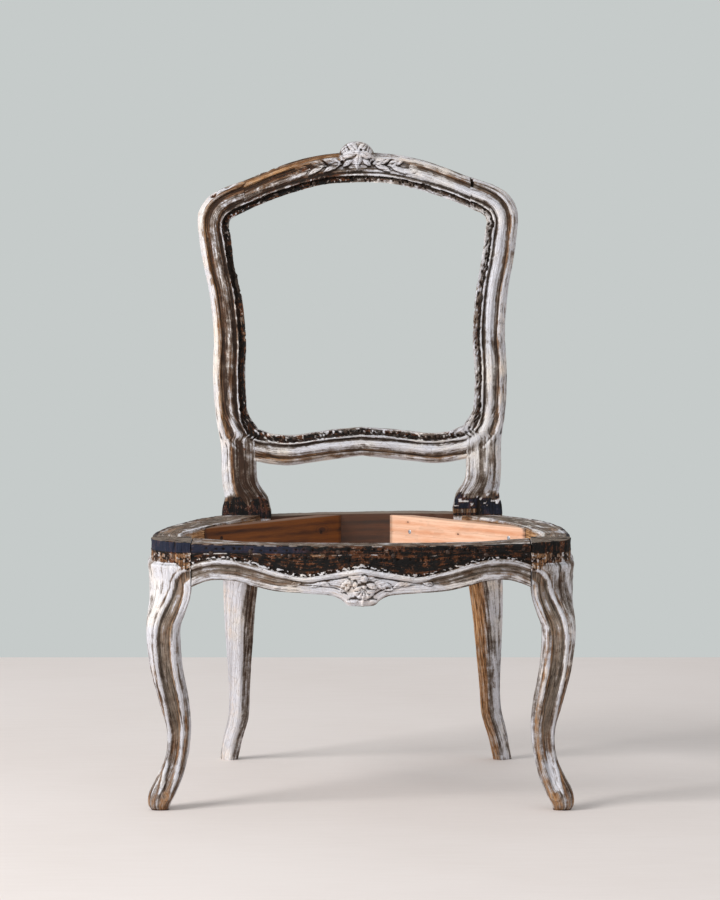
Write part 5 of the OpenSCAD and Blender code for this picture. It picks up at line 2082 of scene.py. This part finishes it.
class SideRail(Paired):
    """A curved side seat rail."""

    OUTER_SHARE: Rows = [[0, 0], [0.2, 0.0], [0.385, 0.075], [0.57, 0.21], [0.75, 0.41], [0.88, 0.66], [1, 1]]
    INNER_SHARE: Rows = [[0, 0], [0.2, -0.03], [0.385, 0.09], [0.55, 0.25], [0.73, 0.5], [0.87, 0.73], [1, 1]]

    def bow(self, t: Array) -> Array:
        """How far the rail bulges out, by share of its length."""
        return (SIZES.bulge_right if self.right else SIZES.bulge_left) * np.sin(np.pi * t * t)

    def outer(self, t: Array) -> Array:
        """Points of the outer face in plan, by share of the rail's length."""
        x = mix(SIZES.corner_x, SIZES.post_out, curve(self.OUTER_SHARE, t)) + self.bow(t)
        return joined(x, mix(SIZES.block_back, SIZES.post_depth, t))

    def inner(self, t: Array) -> Array:
        """Points of the inner face in plan.

        Args:
            t: Shares of the rail's length, from the front.

        Returns:
            Points across and in depth.
        """
        start = SIZES.corner_x - SIZES.rail_t
        x = mix(start, SIZES.post_in + 12, curve(self.INNER_SHARE, t)) + self.bow(t)
        return joined(x, mix(SIZES.block_back, SIZES.post_depth, t) - 12 * np.sin(np.pi * t))

    def low(self, t: Array) -> Array:
        """Height of the lower edge."""
        return SEAT_H - curve([[0, 60], [0.2, 51], [0.5, 50], [0.8, 54], [1, 60]], t)

    def build(self, finish: Finish) -> Piece:
        """Builds the rail.

        Args:
            finish: The piece's material.

        Returns:
            The piece.
        """
        t = np.linspace(0, 1, 150)
        outer, inner, low = self.outer(t), self.inner(t), self.low(t)[:, None]
        width = np.linalg.norm(inner - outer, axis=1)[:, None]
        heights = mix(SEAT_H - 1.4, low + 0.8, steps(40))
        drop, above = SEAT_H - heights, heights - low
        relief = moulding(drop, (0, 26, 28.5, 32.5, 35.5, 38), (0.0, 0.0, -2.6, -5.4, -4.6, -2.2))
        relief = relief - 2.2 * hump((above - 5.5) / 5.5) + 1.6 * ease((2 - above) / 2)
        across, up = ring_of(
            (mix(width - 1.5, 1.5, steps(20)), SEAT_H),
            (0.7, SEAT_H - 0.4),
            (relief, heights),
            (mix(relief[:, -1:] + 1.4, width - 2.0, steps(8)), low + 8 * steps(8) ** 2),
            (width, mix(low + 8, SEAT_H - 1.5, steps(10))))
        direction = (inner - outer) / width
        at = outer[:, None, :] + direction[:, None, :] * across[..., None]
        skin = Skin(joined(at[..., 0], at[..., 1], up) * [self.side.value, 1, 1])
        self.dress(skin, across, width)
        skin.weather(1.2)
        skin.rings[[0, -1], :, 1] = np.array([[SIZES.block_back - 2.0], [SIZES.post_depth + 2.0]])
        return skin.piece(self.named("side_rail"), finish)

    def dress(self, skin: Skin, across: Array, width: Array) -> None:
        """Marks: greyed top with a pale inner edge, black band outside, brown inside.

        Args:
            skin: The skin to mark.
            across: Distance from the outer face.
            width: The rail's thickness.
        """
        rings = skin.rings
        drop = SEAT_H - rings[..., 2]
        run = distance_along(rings[:, 0])[:, None] + 0 * drop
        on_top = (drop < 0.9) * ease((width - 1 - across) / 1)
        outside = (across < 3) & (drop > 0.9)
        inside = across > width - 1.2
        noise = SWELL.layered(rings + 8, (18, 18, 9), 3) - 0.5 + 0.8 * skin.fibres(5.0, 70.0, 33.0)
        band = outside & (drop < 27)
        top_holes = pits(run, across, 13.0, 6.0, 1.3, 19) * (drop < 0.9)
        holes = np.maximum(pits(run, drop, 12.0, 11.0, 1.4, 9) * band, top_holes)
        skin.push(-1.5 * holes)
        bevel = ease((across - width + 9) / 5) * on_top
        crumbs = ease((drop - 20) / 4) * ease((31 - drop) / 3) * outside
        crumbs = crumbs * specks(rings + 5, 2.6, 2, 0.48, 8)
        skin.push(1.0 * crumbs)
        paint = np.where(inside, 0.0, np.where(outside, np.where(band, 0.05, 0.6), 0.12))
        paint = paint + 1.0 * noise * np.where(band | inside, 0.2, 1) + 0.3 * bevel
        paint = paint + (0.2 if self.right else 0.08) * on_top
        skin.mark(paint=np.maximum(paint, crumbs))
        skin.mark(warm=np.where(inside, 0.95, 0.4 + 0.3 * bevel))
        lip = on_top * ease((8 - across) / 4)
        worn = ease(FLECK.layered(rings + 9, (12, 12, 7), 3) * 5 - 1.6)
        patches = 0.45 * on_top * ease(FLECK.layered(rings + 44, (5, 30, 9), 3) * 5 - 2.4)
        top_stain = np.where(inside, 0.0, 0.8 * lip * worn + patches)
        skin.mark(stain=np.where(band, 0.4 + 0.65 * worn - crumbs, top_stain))
        skin.mark(grime_and_shade=0.9 * holes + 0.1 * inside)
        skin.mark(indigo=0.5 * lip)
        skin.mark(grey=np.where(inside, 0.0, 0.35 * on_top + 0.25))


class BackRail:
    """The rear seat rail, bowed backwards."""

    BOW = 20.0
    THICK = 30.0

    @property
    def front_depth(self) -> float:
        """Depth of the front face at its ends."""
        return SIZES.post_depth + 10

    def face(self, x: Array) -> Array:
        """Depth of the bowed front face."""
        radius = (SIZES.post_in**2 + self.BOW**2) / (2 * self.BOW)
        return self.front_depth + self.BOW - radius + np.sqrt(radius**2 - x**2)

    def build(self, finish: Finish) -> Piece:
        """Builds the rail.

        Args:
            finish: The piece's material.

        Returns:
            The piece.
        """
        x = np.linspace(-SIZES.post_in - 1.5, SIZES.post_in + 1.5, 90)
        low, top, thick = SIZES.block_low + 4, SEAT_H, self.THICK
        corners = np.array([[1, low], [0, low + 1], [0, top - 1.2], [1.2, top], [thick - 1.5, top],
                            [thick, top - 1.5], [thick, low + 1], [thick - 1, low]])
        section = outline(corners, (2, 16, 2, 10, 2, 14, 2, 8))
        ring_x = x[:, None] + 0 * section[None, :, 0]
        rings = joined(ring_x, self.face(ring_x) + section[None, :, 0], section[None, :, 1])
        skin = Skin(rings)
        noise = SWELL.layered(rings, (30, 12, 10), 3) - 0.5
        on_top = rings[..., 2] > top - 0.9
        skin.mark(**dict.fromkeys(MARKS, 0))
        skin.mark(grime_and_shade=0.3 * (noise > 0.1), grey=np.where(on_top, 0.9 + noise, 0.1))
        skin.weather(1.3)
        skin.rings = racked(skin.rings)
        return skin.piece("back_rail", finish, "stained_wood")


class Brace(Paired):
    """A diagonal board inside one of the seat's back corners."""

    TOP = SEAT_H - 2
    LOW = SEAT_H - 63
    RUN = (0.5, 0.62)
    GAP = 0.5
    FIXINGS = ((0.15, 24), (0.88, 18))

    def plan(self) -> Array:
        """The board's four corners: side rail, back rail, behind it, and the side rail again.

        Returns:
            Points across and in depth, worked out on the right.
        """
        rail, back = SideRail(self.side), BackRail()
        start = 42.0 if self.right else 29.0
        far = start + 1.75 * SIZES.brace_t
        at_back = [[x, float(back.face(x)) - self.GAP] for x in (start, far)]
        at_side = [rail.inner(share) - [self.GAP, 0] for share in self.RUN]
        return np.array([at_side[0], *at_back, at_side[1]])

    def screws(self) -> list[tuple[Array, Array]]:
        """Where each screw's head sits and which way it faces, worked out on the right.

        Returns:
            One point and one unit direction a screw.
        """
        plan = self.plan()
        run = (plan[0] - plan[1]) / np.linalg.norm(plan[0] - plan[1])
        out = np.array([run[1], -run[0], 0.0])
        out *= -np.sign(out[1])
        found = []
        for share, drop in self.FIXINGS:
            at = mix(plan[1], plan[0], share)
            found.append((np.array([at[0], at[1], SEAT_H - drop]), out))
        return found

    def build(self, finish: Finish, slot: str) -> Piece:
        """Builds the board.

        Args:
            finish: The piece's material.
            slot: The finish slot's name; not used.

        Returns:
            The piece.
        """
        plan = self.plan()
        share = np.linspace(0, 1, 96)[:, None]
        front = mix(plan[1], plan[0], share)
        behind = mix(plan[2], plan[3], share)
        section = self.section()
        depth, up = section[:, 0], section[:, 1]
        at = front[:, None, :] + (behind - front)[:, None, :] * depth[None, :, None]
        rings = np.concatenate([at, (up[None, :] + 0 * at[..., 0])[..., None]], axis=-1)
        skin = Skin(rings * [self.side.value, 1, 1])
        noise = SWELL.layered(skin.rings, (40, 40, 8), 3) - 0.5
        skin.mark(**dict.fromkeys(MARKS, 0))
        end = ease((0.035 - share) / 0.03) + ease((share - 0.965) / 0.03)
        skin.mark(grime_and_shade=0.25 * (noise > 0.12) + 0.55 * end)
        skin.mark(grey=(up[None, :] > self.TOP - 0.8) * 0.35 + 0 * noise)
        skin.push(0.9 * noise * (1 - end))
        return skin.piece(self.named("brace"), finish, slot, "board")

    def section(self) -> Array:
        """Points round the board: share of its thickness and height.

        Returns:
            One row a point.
        """
        low, top = self.LOW, self.TOP
        corners = np.array([[0.05, low], [0, low + 1], [0, top - 1], [0.05, top], [0.95, top], [1, top - 1],
                            [1, low + 1], [0.95, low]])
        return outline(corners, (2, 26, 2, 8, 2, 14, 2, 8))


# ---- fasteners


class Fasteners:
    """Tacks, screws and pegs: small turned pieces, each kind joined into one piece."""

    FRONT_TACKS = ((-205, 12), (-151, 9), (-97, 14), (-31, 8), (44, 13), (118, 9), (171, 14), (222, 6))
    CREST_TACKS = (-118, -63, 27, 92)
    LOWER_TACKS = (-96, -22, 61, 112)
    SHARP = 40.0

    @staticmethod
    def turned(profile: Rows, at: Array, axis: Array, bm: bmesh.types.BMesh, turns: int = 14,
               squash: float = 0.0) -> None:
        """Spins a profile round an axis and adds it to a mesh.

        Args:
            profile: Distance along the axis and radius of each point, in millimetres.
            at: Where the profile's zero lies, in millimetres in the joiner's frame.
            axis: Unit vector that the axis follows.
            bm: The mesh that takes it.
            turns: How many steps the full turn has.
            squash: How much the head is out of round, as a share.
        """
        part = bmesh.new()
        verts = [part.verts.new((radius, 0, along)) for along, radius in profile]
        edges = [part.edges.new(pair) for pair in zip(verts, verts[1:])]
        bmesh.ops.spin(part, geom=verts + edges, cent=(0, 0, 0), axis=(0, 0, 1), angle=2 * math.pi,
                       steps=turns, use_merge=True)
        bmesh.ops.remove_doubles(part, verts=part.verts, dist=1e-5)
        bmesh.ops.scale(part, vec=(1 + squash, 1 - squash, 1), verts=part.verts)
        bmesh.ops.recalc_face_normals(part, faces=part.faces)
        turn = Vector(axis).to_track_quat("Z", "Y").to_matrix()
        place = Vector((at[0], at[1] - SIZES.mid_depth, at[2])) * MM
        for vertex in part.verts:
            vertex.co = turn @ (vertex.co * MM) + place
        held = bpy.data.meshes.new("part")
        part.to_mesh(held)
        part.free()
        bm.from_mesh(held)
        bpy.data.meshes.remove(held)

    def piece(self, name: str, bm: bmesh.types.BMesh, finish: Finish, node: str | None,
              slot: str) -> Piece:
        """Makes a piece of a filled mesh.

        Args:
            name: The mesh's name.
            bm: The filled mesh.
            finish: The piece's material.
            node: The node it belongs to.
            slot: The finish slot's name; not used.

        Returns:
            The piece.
        """
        mesh = bpy.data.meshes.new(name)
        bm.to_mesh(mesh)
        bm.free()
        return fit(show(mesh, finish, self.SHARP), node)

    def tacks(self, finish: Finish) -> Piece:
        """The tacks that are left in the seat's band and the back's rebate.

        Args:
            finish: The piece's material.

        Returns:
            The piece.
        """
        bm = bmesh.new()
        radius = SIZES.tack_r
        head = [[9.0, 0.0], [4.0, 0.7], [0.0, 0.8], [-0.1, radius * 0.94], [-0.5, radius],
                [-1.0, radius * 0.82], [-1.5, radius * 0.45], [-1.65, 0.0]]
        draw = np.random.default_rng(12)
        spots = [np.array([x, float(FRONT.face(x)) - 0.3, SEAT_H - drop])
                 for x, drop in self.FRONT_TACKS]
        rebates = ((self.CREST_TACKS, BACK.crest_inner, 1), (self.LOWER_TACKS, BACK.lower_top, -1))
        for places, edge, up in rebates:
            for x in places:
                z = float(edge(x)) + up * SIZES.rebate_w / 2
                spots.append(racked(np.array([x, float(BACK.depth(z)) + SIZES.rebate_d - 0.6, z])))
        for at in spots:
            tilt = draw.normal(0, 0.12, 2)
            axis = np.array([tilt[0], 1.0, tilt[1]])
            self.turned(head, at, axis / np.linalg.norm(axis), bm, squash=float(draw.normal(0, 0.06)))
        return self.piece("upholstery_tacks_rusty", bm, finish, "upholstery_tacks", "rusty_iron")

    def screws(self, finish: Finish) -> Piece:
        """The braces' screws, with a slot across each head.

        Args:
            finish: The piece's material.

        Returns:
            The piece.
        """
        bm = bmesh.new()
        head = [[38.0, 0.0], [37.0, 1.6], [2.2, 1.9], [0.2, 2.9], [-0.2, 3.0], [-0.6, 2.4], [-0.75, 1.0],
                [-0.3, 0.5], [-0.25, 0.0]]
        for side in Side:
            for at, out in Brace(side).screws():
                into = -out * [side.value, 1, 1]
                self.turned(head, at * [side.value, 1, 1], into, bm, turns=20)
        return self.piece("brace_screws_turned", bm, finish, "brace_screws", "rusty_iron")

    def pegs(self, finish: Finish) -> Piece:
        """The joints' pegs, cut off nearly flush.

        Args:
            finish: The piece's material.

        Returns:
            The piece.
        """
        bm = bmesh.new()
        back = np.array([0.0, 1.0, 0.0])
        level, lower = SEAT_H - SIZES.peg_drop, SEAT_H + SIZES.lower_peg_up
        end = SIZES.crest_joint
        crest = float(BACK.crest_inner(end) + BACK.crest_outer(end)) / 2
        runs = ((SIZES.post_in + 12, SIZES.post_depth + SIZES.post_t - 33, SEAT_H - 34, 33.3),
                (SIZES.lower_joint + 12, float(BACK.depth(lower)) + 7, lower, float(BACK.thick(lower)) - 7.7),
                (end + 12, float(BACK.depth(crest)) + 7, crest, SIZES.back_t - 7.7))
        for side in Side:
            s = side.value
            self.peg(bm, [s * (SIZES.rail_end + 10), FRONT.face(SIZES.rail_end) + 2.2, level], back, 38.0)
            self.peg(bm, [s * (SIZES.corner_x - 34), SIZES.block_back - 10, level], [s, 0, 0], 34.3)
            start = racked(np.array([s * (SIZES.post_out - 42), SIZES.post_depth + 12, level]))
            self.peg(bm, start, [s, 0, 0], 42.3)
            for x, depth, z, reach in runs:
                self.peg(bm, racked(np.array([s * x, depth, z])), back, reach)
        return self.piece("joint_pegs_turned", bm, finish, "joint_pegs", "peg_wood")

    def peg(self, bm: bmesh.types.BMesh, at: Sequence[float], axis: Sequence[float], length: float) -> None:
        """One peg, its ends a little rounded."""
        profile = [[0, 0], [0, 2.5], [0.5, 3.0], [length - 0.6, 3.0], [length, 2.4], [length, 0]]
        self.turned(profile, np.array(at), np.array(axis), bm, turns=16, squash=0.03)


# ---- the room


@dataclass(frozen=True)
class Studio:
    """Plain floor, soft light from the left, and the camera."""

    LAMPS = (("window", (-3.6, -2.2, 2.7), 2.2, 205.0), ("fill", (3.8, -3.0, 1.9), 3.2, 14.0))

    floor: str = "#e3dad5"
    wall: str = "#c6cbca"
    eye_back: float = 6.7
    eye_up: float = 1.09
    lens: float = 197.1
    pitch: float = 5.046
    floor_end: float = 1.63

    def ground(self) -> Piece:
        """The floor, from behind the camera to where the wall would stand.

        Returns:
            The piece.
        """
        bm = bmesh.new()
        bmesh.ops.create_grid(bm, x_segments=24, y_segments=24, size=1)
        end = self.floor_end - SIZES.mid_depth * MM
        for vertex in bm.verts:
            vertex.co = Vector((vertex.co.x * 9, end - 9 + vertex.co.y * 9, 0))
        mesh = bpy.data.meshes.new("floor")
        bm.to_mesh(mesh)
        bm.free()
        g = Graph("pale_floor")
        cloud = g.noise(g.place(), scale=1.6, detail=3)
        fine = g.noise(g.place((2, 14, 1)), scale=6, detail=3)
        colour = g.blend(g.step(g.total((cloud, 0.7), (fine, 0.3)), 0.3, 0.8), self.floor, "#dcd2cc")
        floor = show(mesh, g.finish(colour, 0.75, fine, lift=0.0003, gloss=0.2))
        return floor

    def light(self) -> None:
        """A wide window from the front left, a weak fill from the right, and a pale sky."""
        for name, at, size, power in self.LAMPS:
            lamp = bpy.data.lights.new(name, "AREA")
            lamp.energy, lamp.size = power, size
            holder = bpy.data.objects.new(name, lamp)
            holder.location = at
            holder.rotation_euler = (Vector((0, 0, 0.45)) - Vector(at)).to_track_quat("-Z", "Y").to_euler()
            bpy.context.scene.collection.objects.link(holder)
        world = bpy.data.worlds.new("sky")
        bpy.context.scene.world = world
        world.use_nodes = True
        nodes, links = world.node_tree.nodes, world.node_tree.links
        nodes.clear()
        path = nodes.new("ShaderNodeLightPath")
        seen = nodes.new("ShaderNodeMath")
        seen.operation = "MAXIMUM"
        links.new(path.outputs["Is Camera Ray"], seen.inputs[0])
        links.new(path.outputs["Is Glossy Ray"], seen.inputs[1])
        sky, wall = nodes.new("ShaderNodeBackground"), nodes.new("ShaderNodeBackground")
        choice = nodes.new("ShaderNodeMixShader")
        sky.inputs["Color"].default_value = (0.94, 0.97, 1.0, 1.0)
        sky.inputs["Strength"].default_value = 0.62
        wall.inputs["Color"].default_value = shade(self.wall)
        links.new(seen.outputs[0], choice.inputs[0])
        links.new(sky.outputs[0], choice.inputs[1])
        links.new(wall.outputs[0], choice.inputs[2])
        links.new(choice.outputs[0], nodes.new("ShaderNodeOutputWorld").inputs["Surface"])

    def camera(self) -> None:
        """The camera, at standing height in front of the chair."""
        data = bpy.data.cameras.new("camera")
        data.lens, data.sensor_width = self.lens, 36.0
        data.clip_end = 100
        holder = bpy.data.objects.new("camera", data)
        holder.location = (-0.0014, -self.eye_back - SIZES.mid_depth * MM, self.eye_up)
        holder.rotation_euler = (math.radians(90 - self.pitch), 0, 0)
        bpy.context.scene.collection.objects.link(holder)
        bpy.context.scene.camera = holder


def main() -> None:
    """Builds the chair's pieces in order, then the room round it."""
    logging.basicConfig(level=logging.INFO, format="%(name)s: %(message)s")
    paint = PaintedWood().material()
    # The two braces' boards stand for one wood under shade and under light: the left board's dark brown is
    # painted shade, the right board's pale pink is painted light.
    old_board = BareBoard("shaded_brown_board", "#381803", "#7c4412", "#2c1408",
                          ((-0.0565, 0.1335, 0.348, 0.011),)).material()
    pine = BareBoard("pine_board", "#d3926c", "#ecc1a4", "#a8603a",
                     ((0.068, 0.134, 0.359, 0.0035), (0.139, 0.0615, 0.349, 0.004))).material()
    dark_board = BareBoard("stained_rail", "#210c03", "#4e2810", "#1d0e08").material()
    peg_wood = BareBoard("peg_wood", "#6b4a30", "#96704c", "#3b2616").material()
    rusty = OldIron("rusty_iron", "#4a3d36", "#3d2214", 0.45).material()
    steel = OldIron("dull_steel", "#9aa0a8", "#4a2f20", 0.05, 0.6).material()

    CrestRail().build(paint)
    LowerBackRail().build(paint)
    FrontRail().build(paint)
    for side in Side:
        RearPost(side).build(paint)
        FrontLeg(side).build(paint)
        SideRail(side).build(paint)
    BackRail().build(dark_board)
    # Left board in painted shade, right board in painted light.
    Brace(Side.LEFT).build(old_board, "old_board")
    Brace(Side.RIGHT).build(pine, "pine_board")
    fasteners = Fasteners()
    fasteners.tacks(rusty)
    fasteners.screws(steel)
    fasteners.pegs(peg_wood)

    studio = Studio()
    studio.ground()
    studio.light()
    studio.camera()
    bpy.context.scene.view_settings.view_transform = "Standard"


if __name__ == "__main__":
    main()
